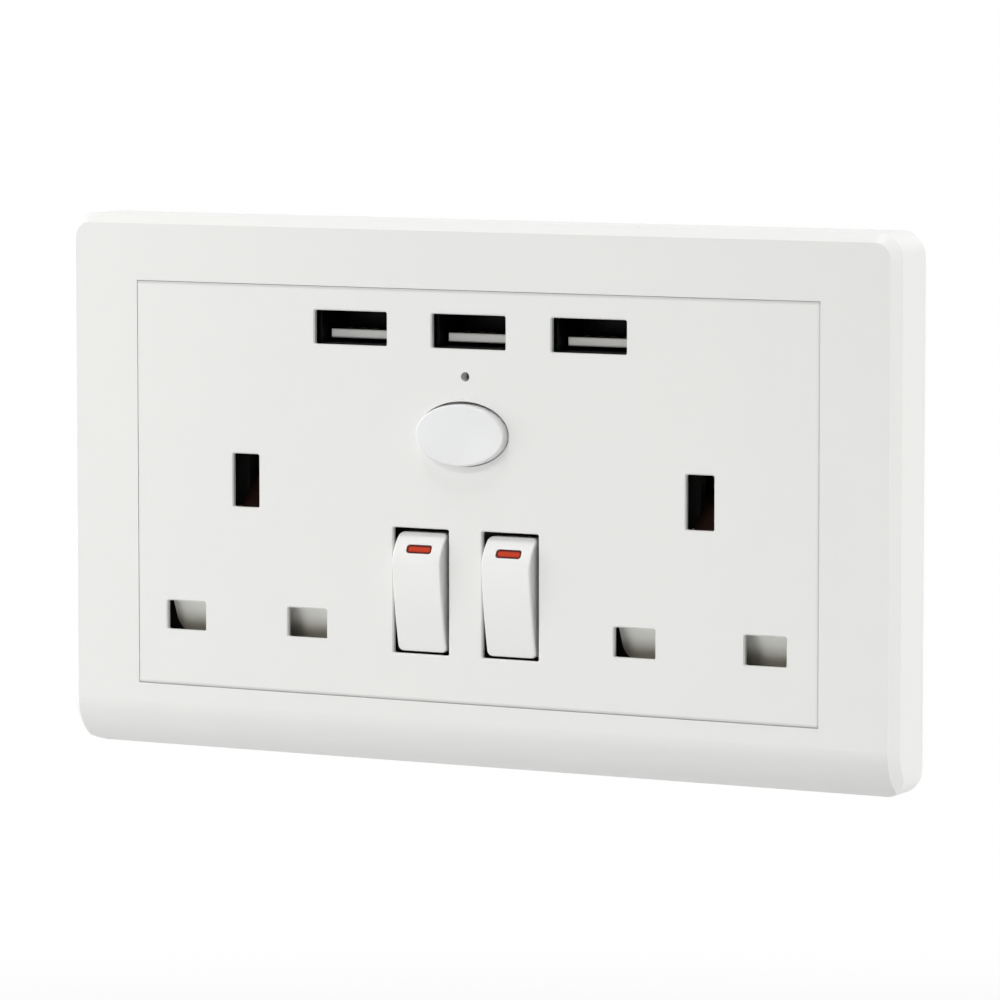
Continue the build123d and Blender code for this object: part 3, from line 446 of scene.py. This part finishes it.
@dataclass(frozen=True)
class MouldedPlastic(Finish):
    """Injection-moulded plastic with a fine spark-eroded grain and faint flow mottling."""

    colour: Colour
    roughness: float = 0.42
    mottling: float = 0.012
    coat: float = 0.08
    shine: float = 0.5
    coat_roughness: float = 0.25
    refraction: float = 1.49
    grain: Noise = Noise(2600.0, 2.0)
    peel: Noise = Noise(420.0, 2.0)
    scuffs: Noise = Noise(160.0, 6.0, (1.0, 1.0, 2.5))
    flow: Noise = Noise(38.0, 4.0, (1.0, 1.0, 0.45))
    grain_swing: float = 0.06
    scuff_swing: float = 0.10
    grain_height: float = 0.7
    peel_height: float = 0.5
    relief: float = 0.000012
    dull_loss: Colour = (2.0, 2.0, 2.0)
    warm_loss: Colour = (0.0, 0.3, 1.0)

    def paint(self, graph: Graph) -> None:
        """Lays grain, peel and scuffs over the moulded tone.

        Args:
            graph: The graph to fill.
        """
        grain = graph.noise(self.grain)
        peel = graph.noise(self.peel)
        scuffs = graph.noise(self.scuffs)
        graph.surface(
            Base_Color=self.tone(graph),
            Roughness=scuffs.swing(self.scuff_swing) + grain.swing(self.grain_swing) + self.roughness,
            Coat_Weight=self.coat,
            Coat_Roughness=self.coat_roughness,
            IOR=self.refraction,
            Specular_IOR_Level=self.shine,
            Normal=graph.bump(grain * self.grain_height + peel * self.peel_height, self.relief),
        )

    def tone(self, graph: Graph) -> Wire:
        """Colour with its flow mottling.

        Args:
            graph: The graph to add to.

        Returns:
            The colour.
        """
        return graph.blend(graph.noise(self.flow), self._faded(self.dull_loss), self._faded(self.warm_loss))

    def _faded(self, loss: Colour) -> Colour:
        """Lowers each channel of the colour by its share of the mottling.

        Args:
            loss: The share of each channel.

        Returns:
            The faded colour.
        """
        return tuple(channel * (1.0 - share * self.mottling) for channel, share in zip(self.colour, loss))


@dataclass(frozen=True, kw_only=True)
class ShadeGradedPlastic(MouldedPlastic):
    """Moulded plastic whose colour turns to a painted shade along one axis of the socket."""

    painted_shade_colour: Colour
    axis: Axis
    start: float
    end: float

    def tone(self, graph: Graph) -> Wire:
        """Colour graded into the painted shade along the axis.

        Args:
            graph: The graph to add to.

        Returns:
            The colour.
        """
        # Painted shade: the colour darkens along the axis from start to end
        share = graph.axis(self.axis).ease(self.start, self.end)
        return graph.blend(share, super().tone(graph), self.painted_shade_colour)


# How far behind the frontmost point a vertex may lie and still belong to the front face
FACE_TOLERANCE = 1e-5


@dataclass(frozen=True, kw_only=True)
class SeamShadedPlastic(MouldedPlastic):
    """Moulded plastic with a painted shade that darkens it softly towards the joint line round its front
    face.
    """

    middle: tuple[float, float]
    half: tuple[float, float]
    rim: float = 0.00045
    side_share: float = 0.2
    shade: Colour = (0.61, 0.61, 0.60)

    @classmethod
    def fitted(cls, name: str, colour: Colour, node: bpy.types.Object) -> SeamShadedPlastic:
        """Fits the joint line to the outline of a node's front face.

        Args:
            name: The material's name.
            colour: The plastic's colour.
            node: The CAD object whose frontmost face has the joint line.

        Returns:
            The fitted finish.
        """
        places = [vert.co for vert in node.data.vertices]
        front = min(place.y for place in places)
        face = [(place.x, place.z) for place in places if place.y < front + FACE_TOLERANCE]
        spans = [(min(row), max(row)) for row in zip(*face)]
        middle = tuple((low + high) / 2 for low, high in spans)
        half = tuple((high - low) / 2 for low, high in spans)
        return cls(name, colour, middle=middle, half=half)

    def tone(self, graph: Graph) -> Wire:
        """Colour with the painted shade along the joint line.

        Args:
            graph: The graph to add to.

        Returns:
            The colour.
        """
        sides, ends = (
            abs(graph.axis(axis) - middle).ease(half - self.rim, half)
            for axis, middle, half in zip((Axis.X, Axis.Z), self.middle, self.half)
        )
        # Painted shade: darker towards the joint line, strongest above and below, weaker at the sides
        joint = ends + (1.0 - ends) * sides * self.side_share
        return graph.blend(joint, super().tone(graph), self.shade)


@dataclass(frozen=True)
class StampedMetal(Finish):
    """Rolled and stamped sheet: stretched rolling lines, cloudy tarnish and small pits."""

    colour: Colour
    tarnish: Colour
    roughness: float = 0.32
    rolling: Noise = Noise(1.0, 3.0, (40.0, 900.0, 900.0))
    clouds: Noise = Noise(130.0, 5.0)
    pits: Noise = Noise(3200.0, 1.0)
    tarnish_share: float = 0.55
    rolling_swing: float = 0.18
    cloud_swing: float = 0.12
    rolling_height: float = 0.8
    pit_height: float = 0.3
    relief: float = 0.000008

    def paint(self, graph: Graph) -> None:
        """Lays rolling lines, tarnish and pits over the metal.

        Args:
            graph: The graph to fill.
        """
        rolling = graph.noise(self.rolling)
        clouds = graph.noise(self.clouds)
        pits = graph.noise(self.pits)
        graph.surface(
            Base_Color=graph.blend(clouds * self.tarnish_share, self.colour, self.tarnish),
            Metallic=1.0,
            Roughness=rolling.swing(self.rolling_swing) + clouds.swing(self.cloud_swing) + self.roughness,
            Normal=graph.bump(rolling * self.rolling_height + pits * self.pit_height, self.relief),
        )


# A face whose normal has less than this along Y looks out of the front
FRONT_FACING = -0.5


@dataclass(frozen=True)
class LensWindow(Finish):
    """Coloured window in a rocker: a bright ribbed middle inside a dark rim of painted shade."""

    middle: Vector
    half: Vector
    colour: Colour = (0.62, 0.050, 0.014)
    rim: Colour = (0.075, 0.003, 0.002)
    rim_width: float = 0.00045
    rim_start: float = 0.15
    rim_end: float = 0.80
    ribs: Bands = Bands(Axis.X, 520.0, 0.6, 2.0)
    clouds: Noise = Noise(700.0, 3.0)
    rib_share: float = 0.12
    cloud_share: float = 0.16
    roughness: float = 0.30
    cloud_roughness: float = 0.12
    shine: float = 0.15
    relief: float = 0.00001

    @classmethod
    def fitted(cls, side: Side, frame: dict) -> LensWindow:
        """Fits the window to the face that the insert of one side shows.

        Args:
            side: The rocker that holds the insert.

        Returns:
            The fitted window.
        """
        mesh = frame["nodes"][f"indicator_{side.value}"].data
        shown = [face for face in mesh.polygons if face.normal.y < FRONT_FACING]
        points = [mesh.vertices[index].co for face in shown for index in face.vertices]
        low, high = (Vector(map(pick, zip(*points))) for pick in (min, max))
        return cls(f"indicator_red_{side.value}", (low + high) / 2, (high - low) / 2)

    def paint(self, graph: Graph) -> None:
        """Sets the ribbed middle inside its rounded rim of painted shade.

        Args:
            graph: The graph to fill.
        """
        # Painted shade: the window darkens to the rim colour round its edge, where it sinks into the rocker
        across = abs(graph.axis(Axis.X) - self.middle.x).above(self.half.x - self.rim_width)
        along = abs(graph.axis(Axis.Z) - self.middle.z).above(self.half.z - self.rim_width)
        beyond = (across * across + along * along) ** 0.5
        painted_rim_shade = beyond.ease(self.rim_start * self.rim_width, self.rim_end * self.rim_width)
        ribs = graph.bands(self.ribs)
        clouds = graph.noise(self.clouds)
        glass = graph.blend(ribs * self.rib_share + clouds * self.cloud_share, self.colour, self.rim)
        graph.surface(
            Base_Color=graph.blend(painted_rim_shade, glass, self.rim),
            Roughness=clouds * self.cloud_roughness + self.roughness,
            Specular_IOR_Level=self.shine,
            Normal=graph.bump(ribs, self.relief),
        )


@dataclass(frozen=True)
class BoardLaminate(Finish):
    """Circuit board: solder mask over tracks, with the weave of the laminate below."""

    mask: Colour
    track: Colour
    track_scale: float = 120.0
    track_width: float = 0.09
    track_shift: float = 0.37
    weave: Noise = Noise(1500.0, 2.0)
    track_share: float = 0.8
    weave_share: float = 0.15
    roughness: float = 0.28
    weave_roughness: float = 0.1
    weave_height: float = 0.2
    relief: float = 0.00004

    def paint(self, graph: Graph) -> None:
        """Draws the tracks on the board's face, over the weave.

        Args:
            graph: The graph to fill.
        """
        quarter_turn = (math.radians(90), 0.0, 0.0)
        facing = graph.wire(
            "ShaderNodeMapping", inputs={"Vector": graph.place(), "Rotation": quarter_turn}
        )
        tracks = graph.wire(
            "ShaderNodeTexBrick",
            {"offset": self.track_shift},
            {"Vector": facing, "Scale": self.track_scale, "Mortar Size": self.track_width},
            "Fac",
        )
        weave = graph.noise(self.weave)
        shown = tracks * self.track_share + weave * self.weave_share
        graph.surface(
            Base_Color=graph.blend(shown, self.mask, self.track),
            Roughness=weave * self.weave_roughness + self.roughness,
            Normal=graph.bump(tracks + weave * self.weave_height, self.relief),
        )


@dataclass(frozen=True)
class WrappedTape(Finish):
    """Winding under overlapping turns of tape."""

    colour: Colour
    fold: Colour
    turns: Bands = Bands(Axis.Y, 260.0, 0.8, 1.0)
    creases: Noise = Noise(600.0, 4.0)
    turn_share: float = 0.5
    crease_share: float = 0.3
    roughness: float = 0.25
    crease_roughness: float = 0.2
    crease_height: float = 0.4
    relief: float = 0.00006

    def paint(self, graph: Graph) -> None:
        """Lays the turns and their creases.

        Args:
            graph: The graph to fill.
        """
        turns = graph.bands(self.turns)
        creases = graph.noise(self.creases)
        folded = turns * self.turn_share + creases * self.crease_share
        graph.surface(
            Base_Color=graph.blend(folded, self.colour, self.fold),
            Roughness=creases * self.crease_roughness + self.roughness,
            Normal=graph.bump(turns + creases * self.crease_height, self.relief),
        )


@dataclass(frozen=True)
class PrintedSleeve(Finish):
    """Shrunk sleeve on a can, with a pale polarity stripe above its middle."""

    bottom: float
    height: float
    colour: Colour = (0.020, 0.022, 0.035)
    stripe: Colour = (0.55, 0.56, 0.58)
    stripe_rise: float = 0.72
    stripe_half: float = 0.11
    stripe_share: float = 0.85
    creases: Noise = Noise(900.0, 4.0)
    roughness: float = 0.22
    crease_roughness: float = 0.16
    coat: float = 0.2
    relief: float = 0.00003

    @classmethod
    def fitted(cls, node: str) -> PrintedSleeve:
        """Fits the stripe to a can.

        Args:
            node: The can's node.

        Returns:
            The fitted sleeve.
        """
        low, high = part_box(node)
        return cls(f"sleeve_{node}", low.z, high.z - low.z)

    def paint(self, graph: Graph) -> None:
        """Prints the stripe on the creased sleeve.

        Args:
            graph: The graph to fill.
        """
        row = self.bottom + self.stripe_rise * self.height
        band = abs(graph.axis(Axis.Z) - row) < self.stripe_half * self.height
        creases = graph.noise(self.creases)
        graph.surface(
            Base_Color=graph.blend(band * self.stripe_share, self.colour, self.stripe),
            Roughness=creases * self.crease_roughness + self.roughness,
            Coat_Weight=self.coat,
            Normal=graph.bump(creases, self.relief),
        )


@dataclass(frozen=True)
class CastResin(Finish):
    """Diffused resin of a small light."""

    colour: Colour
    milk: Colour = (0.95, 0.97, 1.0)
    haze: Noise = Noise(1400.0, 3.0)
    haze_share: float = 0.4
    roughness: float = 0.15
    haze_roughness: float = 0.2
    clearness: float = 0.45
    refraction: float = 1.5

    def paint(self, graph: Graph) -> None:
        """Clouds the resin.

        Args:
            graph: The graph to fill.
        """
        haze = graph.noise(self.haze)
        graph.surface(
            Base_Color=graph.blend(haze * self.haze_share, self.colour, self.milk),
            Roughness=haze * self.haze_roughness + self.roughness,
            Transmission_Weight=self.clearness,
            IOR=self.refraction,
        )


@dataclass(frozen=True)
class DrawnInsulation(Finish):
    """Extruded insulation of a lead, with faint draw lines along it."""

    colour: Colour
    lines: Noise = Noise(1.0, 2.0, (2400.0, 2400.0, 120.0))
    line_tone: float = 0.7
    line_share: float = 0.5
    roughness: float = 0.38
    line_roughness: float = 0.15
    relief: float = 0.00002

    def paint(self, graph: Graph) -> None:
        """Draws the lines in a darker tone.

        Args:
            graph: The graph to fill.
        """
        lines = graph.noise(self.lines)
        dusk = tuple(channel * self.line_tone for channel in self.colour)
        graph.surface(
            Base_Color=graph.blend(lines * self.line_share, self.colour, dusk),
            Roughness=lines * self.line_roughness + self.roughness,
            Normal=graph.bump(lines, self.relief),
        )


# How far below the top of its aperture a shutter's painted shade starts to darken it
SHUTTER_SHADE_DROP = 0.0014
# How far behind its tip a port's tongue starts and ends its turn to black, a painted shade deep in the port
TONGUE_EDGE = (0.00008, 0.00030)


@dataclass
class FinishBook:
    """The finish of each material slot of the record, or of one node where it has its own."""

    finishes: dict[str, Finish]
    built: dict[str, bpy.types.Material] = field(default_factory=dict)

    @classmethod
    def fitted(cls, frame: dict) -> FinishBook:
        """Lists the finishes, with those that follow a shape fitted to the frame.


        Returns:
            The finishes.
        """
        return cls({**cls._plain_plastics(), **cls._shaped(frame), **cls._metals(), **cls._charger()})

    @staticmethod
    def _plain_plastics() -> dict[str, Finish]:
        """Lists the mouldings of one colour.

        Returns:
            The finishes by slot.
        """
        return {
            "frame_plastic": MouldedPlastic("frame_white", SOCKET_WHITE),
            "rocker_plastic": MouldedPlastic("rocker_white", (0.88, 0.88, 0.87), roughness=0.34, coat=0.15),
            "button_plastic": MouldedPlastic("button_white", (0.83, 0.835, 0.84), roughness=0.36, coat=0.12),
            "base_plastic": MouldedPlastic(
                "base_charcoal", (0.022, 0.022, 0.023), roughness=0.5, mottling=0.08
            ),
            # Cams: near-black brown, partly their moulded colour and partly painted shade for the depth of
            # the earth apertures
            "cam_plastic": MouldedPlastic(
                "cam_acetal", (0.016, 0.006, 0.004), roughness=0.45, mottling=0.1, coat=0.0, shine=0.12
            ),
            "plunger_plastic": MouldedPlastic("plunger_ivory", (0.68, 0.67, 0.62), roughness=0.45),
        }

    @staticmethod
    def _shaped(frame: dict) -> dict[str, Finish]:
        """Lists the finishes that follow the shape of their pieces.


        Returns:
            The finishes by slot or node.
        """
        mouths = {entry["name"]: entry["box_m"] for entry in frame["record"]["physics"]["openings"]}
        mouth_low, mouth_high = (corner[2] for corner in mouths["live_aperture_left"])
        tongue_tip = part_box("usb_tongue_centre")[0].y
        edge_start, edge_end = TONGUE_EDGE
        finishes = {
            # The panel wears a painted shade along its joint line
            "panel_plastic": SeamShadedPlastic.fitted("panel_white", SOCKET_WHITE, frame["nodes"]["front_panel"]),
            # Shutters: painted shade, darker towards the lower edge of their apertures
            "shutter_plastic": ShadeGradedPlastic(
                "shutter_grey",
                (0.96, 0.96, 0.92),
                roughness=0.5,
                painted_shade_colour=(0.50, 0.48, 0.40),
                axis=Axis.Z,
                start=mouth_high - SHUTTER_SHADE_DROP,
                end=mouth_low,
            ),
            # Port tongues: pale tip, then painted shade turning them black deeper in the port
            "tongue_plastic": ShadeGradedPlastic(
                "tongue_grey",
                (0.67, 0.67, 0.65),
                roughness=0.45,
                coat=0.0,
                shine=0.06,
                painted_shade_colour=(0.006, 0.006, 0.006),
                axis=Axis.Y,
                start=tongue_tip + edge_start,
                end=tongue_tip + edge_end,
            ),
        }
        for side in Side:
            finishes[f"indicator_{side.value}"] = LensWindow.fitted(side, frame)
        for can in ("input_capacitor", "output_capacitors"):
            finishes[can] = PrintedSleeve.fitted(can)
        return finishes

    @staticmethod
    def _metals() -> dict[str, Finish]:
        """Lists the springs, strips, screws, shells, contacts and wires.

        Returns:
            The finishes by slot.
        """
        return {
            "spring_steel": StampedMetal("spring_wire", (0.62, 0.62, 0.64), (0.40, 0.40, 0.42)),
            "brass_strip": StampedMetal("brass_strip", (0.80, 0.60, 0.28), (0.45, 0.30, 0.14)),
            "screw_steel": StampedMetal("zinc_screws", (0.70, 0.70, 0.69), (0.46, 0.47, 0.44)),
            "shell_steel": StampedMetal(
                "port_shell", (0.028, 0.028, 0.030), (0.014, 0.014, 0.015), roughness=0.5
            ),
            # Contacts: gold darkened to near black, a painted shade for their place deep in the ports
            "contact_gold": StampedMetal(
                "gold_flash_painted_shade", (0.060, 0.045, 0.022), (0.030, 0.022, 0.012), roughness=0.4
            ),
            "tinned_wire": StampedMetal("tinned_wire", (0.74, 0.74, 0.74), (0.50, 0.50, 0.50)),
        }

    @staticmethod
    def _charger() -> dict[str, Finish]:
        """Lists what the charger board and its leads wear.

        Returns:
            The finishes by slot.
        """
        return {
            "board_laminate": BoardLaminate("charger_board", (0.015, 0.10, 0.045), (0.06, 0.24, 0.11)),
            "dark_plastic": MouldedPlastic("chip_black", (0.016, 0.016, 0.017), roughness=0.5, mottling=0.1),
            "led_lens": CastResin("light_resin", (0.70, 0.80, 0.95)),
            "ferrite": MouldedPlastic(
                "ferrite", (0.030, 0.029, 0.028), roughness=0.62, mottling=0.15, coat=0.0
            ),
            "winding_tape": WrappedTape("winding_tape", (0.72, 0.50, 0.04), (0.46, 0.28, 0.02)),
            "lead_brown": DrawnInsulation("lead_brown", (0.16, 0.065, 0.03)),
            "lead_blue": DrawnInsulation("lead_blue", (0.03, 0.10, 0.36)),
        }

    def material(self, key: str) -> bpy.types.Material:
        """Gives a finish's material and builds it the first time.

        Args:
            key: The record's slot name, or a node's name.

        Returns:
            The material.
        """
        if key not in self.built:
            self.built[key] = self.finishes[key].build()
        return self.built[key]

    def dress(self, frame: dict) -> None:
        """Gives every CAD node its finish.
        """
        for entry in frame["record"]["subparts"]:
            node = entry["node"]
            material = self.material(node if node in self.finishes else entry["material_slot"])
            mesh = frame["nodes"][node].data
            mesh.materials.clear()
            mesh.materials.append(material)
            LOG.info("node %s wears %s", node, material.name)


@dataclass
class HousingMarks:
    """Raised terminal marks on the back of the housing: the two letters and the earth sign."""

    rise: float = 0.0004
    sunk_share: float = 0.25
    edge_share: float = 0.2
    letter_height: float = 0.0052
    row: float = -0.0165
    pitch: float = 0.020
    bar_width: float = 0.0006
    stem_middle: float = 0.0012
    stem_length: float = 0.0026
    bar_count: int = 3
    first_bar: float = -0.0003
    bar_pitch: float = 0.0011
    bar_length: float = 0.0044
    bar_taper: float = 0.0014

    def build(self, book: FinishBook) -> None:
        """Builds the marks and fixes them to the housing.

        Args:
            book: The finishes to wear.
        """
        pieces = [
            self._letter("L", self.pitch),
            self._letter("N", -self.pitch),
            self._earth_sign(),
        ]
        for piece in pieces:
            piece.data.materials.append(book.material("base_plastic"))
            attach(piece, "base")
            LOG.info("piece %s on the housing", piece.name)

    def _stand(self, x: float) -> Matrix:
        """Frame of a mark as read from behind.

        Args:
            x: The mark's place across the socket.

        Returns:
            The frame's matrix.
        """
        turn = Matrix(((-1, 0, 0), (0, 0, 1), (0, 1, 0))).to_4x4()
        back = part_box("rear_housing")[1].y
        return Matrix.Translation((x, back - self.rise * self.sunk_share, self.row)) @ turn

    def _letter(self, text: str, x: float) -> bpy.types.Object:
        """Makes one raised letter.

        Args:
            text: The letter.
            x: Its place across the socket.

        Returns:
            The letter's object.
        """
        curve = bpy.data.curves.new(f"mark_{text}", "FONT")
        curve.body = text
        curve.align_x = "CENTER"
        curve.align_y = "CENTER"
        curve.size = self.letter_height
        curve.extrude = self.rise
        curve.bevel_depth = self.rise * self.edge_share
        holder = placed(curve)
        solid = holder.evaluated_get(bpy.context.evaluated_depsgraph_get())
        mesh = bpy.data.meshes.new_from_object(solid)
        bpy.data.objects.remove(holder)
        mesh.name = f"housing_mark_{text}"
        mesh.transform(self._stand(x))
        return placed(mesh)

    def _earth_sign(self) -> bpy.types.Object:
        """Makes the raised earth sign in the middle: a stem above bars of falling length.

        Returns:
            The sign's object.
        """
        strokes = [(self.stem_middle, self.bar_width, self.stem_length)]
        for step in range(self.bar_count):
            middle = self.first_bar - self.bar_pitch * step
            strokes.append((middle, self.bar_length - self.bar_taper * step, self.bar_width))
        work = bmesh.new()
        for middle, width, height in strokes:
            made = bmesh.ops.create_cube(work, size=1.0)
            bmesh.ops.scale(work, vec=(width, height, 2 * self.rise), verts=made["verts"])
            bmesh.ops.translate(work, vec=(0.0, middle, 0.0), verts=made["verts"])
        rims = [edge for edge in work.edges if all(vert.co.z > 0 for vert in edge.verts)]
        bmesh.ops.bevel(
            work,
            geom=rims,
            offset=self.rise * self.edge_share,
            segments=2,
            profile=0.5,
            affect="EDGES",
            material=-1,
        )
        piece = meshed(work, "housing_mark_earth")
        piece.data.transform(self._stand(0.0))
        return piece


@dataclass
class ReturnSprings:
    """Coil springs that stand in for the springs that the slides press; they do not shorten here."""

    weld: float = 1e-6
    sharp_angle: float = math.radians(35)

    def build(self, frame: dict, book: FinishBook) -> None:
        """Stands a coil in for each spring that a slide of the record presses.

        Args:
            book: The finishes to wear.
        """
        for joint in frame["record"]["behaviour"]["joints"]:
            for entry in joint.get("deforming_nodes", ()):
                piece = self._coil(frame["nodes"][entry["node"]])
                piece.data.materials.append(book.material("spring_steel"))
                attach(piece, joint["parent"])
                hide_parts(entry["node"])
                self._shorten(piece, joint)
                LOG.info("piece %s shortens with %s", piece.name, joint["name"])

    def _coil(self, node: bpy.types.Object) -> bpy.types.Object:
        """Copies a spring's mesh, joined up, with crisp edges along the wire.

        Args:
            node: The spring's CAD object.

        Returns:
            The coil's object.
        """
        work = bmesh.new()
        work.from_mesh(node.data)
        bmesh.ops.remove_doubles(work, verts=work.verts, dist=self.weld)
        for edge in work.edges:
            edge.smooth = edge.calc_face_angle(0.0) < self.sharp_angle
        for face in work.faces:
            face.smooth = True
        return meshed(work, f"{node.name}_coil")

    @staticmethod
    def _shorten(piece: bpy.types.Object, joint: dict) -> None:
        """Gives a coil its own copy of its mesh; the coil does not shorten.

        Args:
            piece: The coil's object.
            joint: The slide's entry in the record; not used.
        """
        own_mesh(piece)


@dataclass(frozen=True)
class Softbox:
    """One square area lamp, aimed at the middle of the socket."""

    name: str
    place: Triple
    size: float
    watts: float

    def build(self) -> None:
        """Hangs the lamp and aims it."""
        lamp = bpy.data.lights.new(self.name, "AREA")
        lamp.size = self.size
        lamp.energy = self.watts
        thing = placed(lamp)
        thing.location = self.place
        thing.rotation_euler = (Vector() - Vector(self.place)).to_track_quat("-Z", "Y").to_euler()


@dataclass
class Studio:
    """White studio: a pale floor below, soft lamps and the portrait camera."""

    floor_height: float = -0.22
    floor_reach: float = 6.0
    floor_bounce: Colour = (0.67, 0.67, 0.67)
    floor_shade: Colour = (0.90, 0.90, 0.90)
    fade_start: float = 0.25
    fade_end: float = 0.9
    world_strength: float = 0.25
    softboxes: tuple[Softbox, ...] = (
        Softbox("overhead", (-0.14, -0.78, 0.64), 0.26, 2.5),
        Softbox("crown", (-0.08, -0.26, 0.94), 0.22, 2.3),
        Softbox("low_front", (-0.16, -0.62, -0.14), 0.24, 0.92),
        Softbox("near_left", (-0.40, -0.16, 0.05), 0.3, 0.575),
        Softbox("top_edge", (0.0, 0.16, 1.0), 0.3, 2.4),
        Softbox("left_edge", (-1.1, 0.20, 0.10), 0.3, 2.4),
        Softbox("right_edge", (1.2, 0.15, 0.15), 0.3, 8.0),
    )
    lens: float = 208.5
    sensor_width: float = 36.0
    near_clip: float = 0.05
    far_clip: float = 60.0
    eye: Triple = (0.42120, -0.80464, 0.08665)
    azimuth: float = math.radians(27.61)
    elevation: float = math.radians(5.52)

    def build(self) -> None:
        """Sets up the world, floor, lamps and camera."""
        self._world()
        self._floor()
        for softbox in self.softboxes:
            softbox.build()
        self._camera()
        bpy.context.scene.view_settings.view_transform = "Standard"

    @staticmethod
    def _seen(graph: Graph) -> Wire:
        """One for rays that show the background: camera, glossy and transmitted rays.

        Args:
            graph: The graph to add to.

        Returns:
            The ray test.
        """
        path = graph.node("ShaderNodeLightPath")
        camera, glossy, through = (
            Wire(graph, path.outputs[f"Is {ray} Ray"]) for ray in ("Camera", "Glossy", "Transmission")
        )
        return graph.wire("ShaderNodeClamp", inputs={0: camera + glossy + through})

    def _world(self) -> None:
        """White where it is seen, and a softer level where it lights the object."""
        world = bpy.data.worlds.new("studio_white")
        world.use_nodes = True
        bpy.context.scene.world = world
        graph = Graph(world.node_tree)
        strength = self._seen(graph) * (1.0 - self.world_strength) + self.world_strength
        glow = graph.node("ShaderNodeBackground", inputs={"Color": PURE_WHITE, "Strength": strength})
        graph.node("ShaderNodeOutputWorld", inputs={"Surface": glow.outputs[0]})

    def _floor(self) -> None:
        """Pale floor that fades to plain white away from the object."""
        work = bmesh.new()
        bmesh.ops.create_grid(work, x_segments=2, y_segments=2, size=self.floor_reach)
        bmesh.ops.translate(work, vec=(0.0, 0.0, self.floor_height), verts=work.verts)
        floor = meshed(work, "studio_floor")
        floor.data.materials.append(self._floor_paper())

    def _floor_paper(self) -> bpy.types.Material:
        """Makes the floor's material.

        Returns:
            The material.
        """
        material, graph = new_material("pale_floor")
        distance = graph.wire(
            "ShaderNodeVectorMath", {"operation": "LENGTH"}, {0: graph.place()}, output="Value"
        )
        seen = self._seen(graph)
        fade = distance.ease(self.fade_start, self.fade_end) * seen
        shade = graph.blend(seen, self.floor_bounce, self.floor_shade)
        paper = graph.node("ShaderNodeBsdfDiffuse", inputs={"Color": shade})
        white = graph.node("ShaderNodeEmission", inputs={"Color": PURE_WHITE, "Strength": 1.0})
        mixed = graph.node(
            "ShaderNodeMixShader", inputs={0: fade, 1: paper.outputs[0], 2: white.outputs[0]}
        )
        graph.node("ShaderNodeOutputMaterial", inputs={"Surface": mixed.outputs[0]})
        return material

    def _camera(self) -> None:
        """Camera at the portrait's own angle and distance."""
        optics = bpy.data.cameras.new("portrait")
        optics.lens = self.lens
        optics.sensor_width = self.sensor_width
        optics.clip_start = self.near_clip
        optics.clip_end = self.far_clip
        camera = placed(optics)
        turn = Euler((math.radians(90) - self.elevation, 0.0, self.azimuth))
        camera.matrix_world = Matrix.LocRotScale(Vector(self.eye), turn, None)
        bpy.context.scene.camera = camera


def main() -> None:
    """Loads the frame, dresses it, and sets the studio."""
    logging.basicConfig(level=logging.INFO, format="%(name)s: %(message)s")
    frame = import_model()
    book = FinishBook.fitted(frame)
    book.dress(frame)
    HousingMarks().build(book)
    ReturnSprings().build(frame, book)
    Studio().build()


if __name__ == "__main__":
    main()
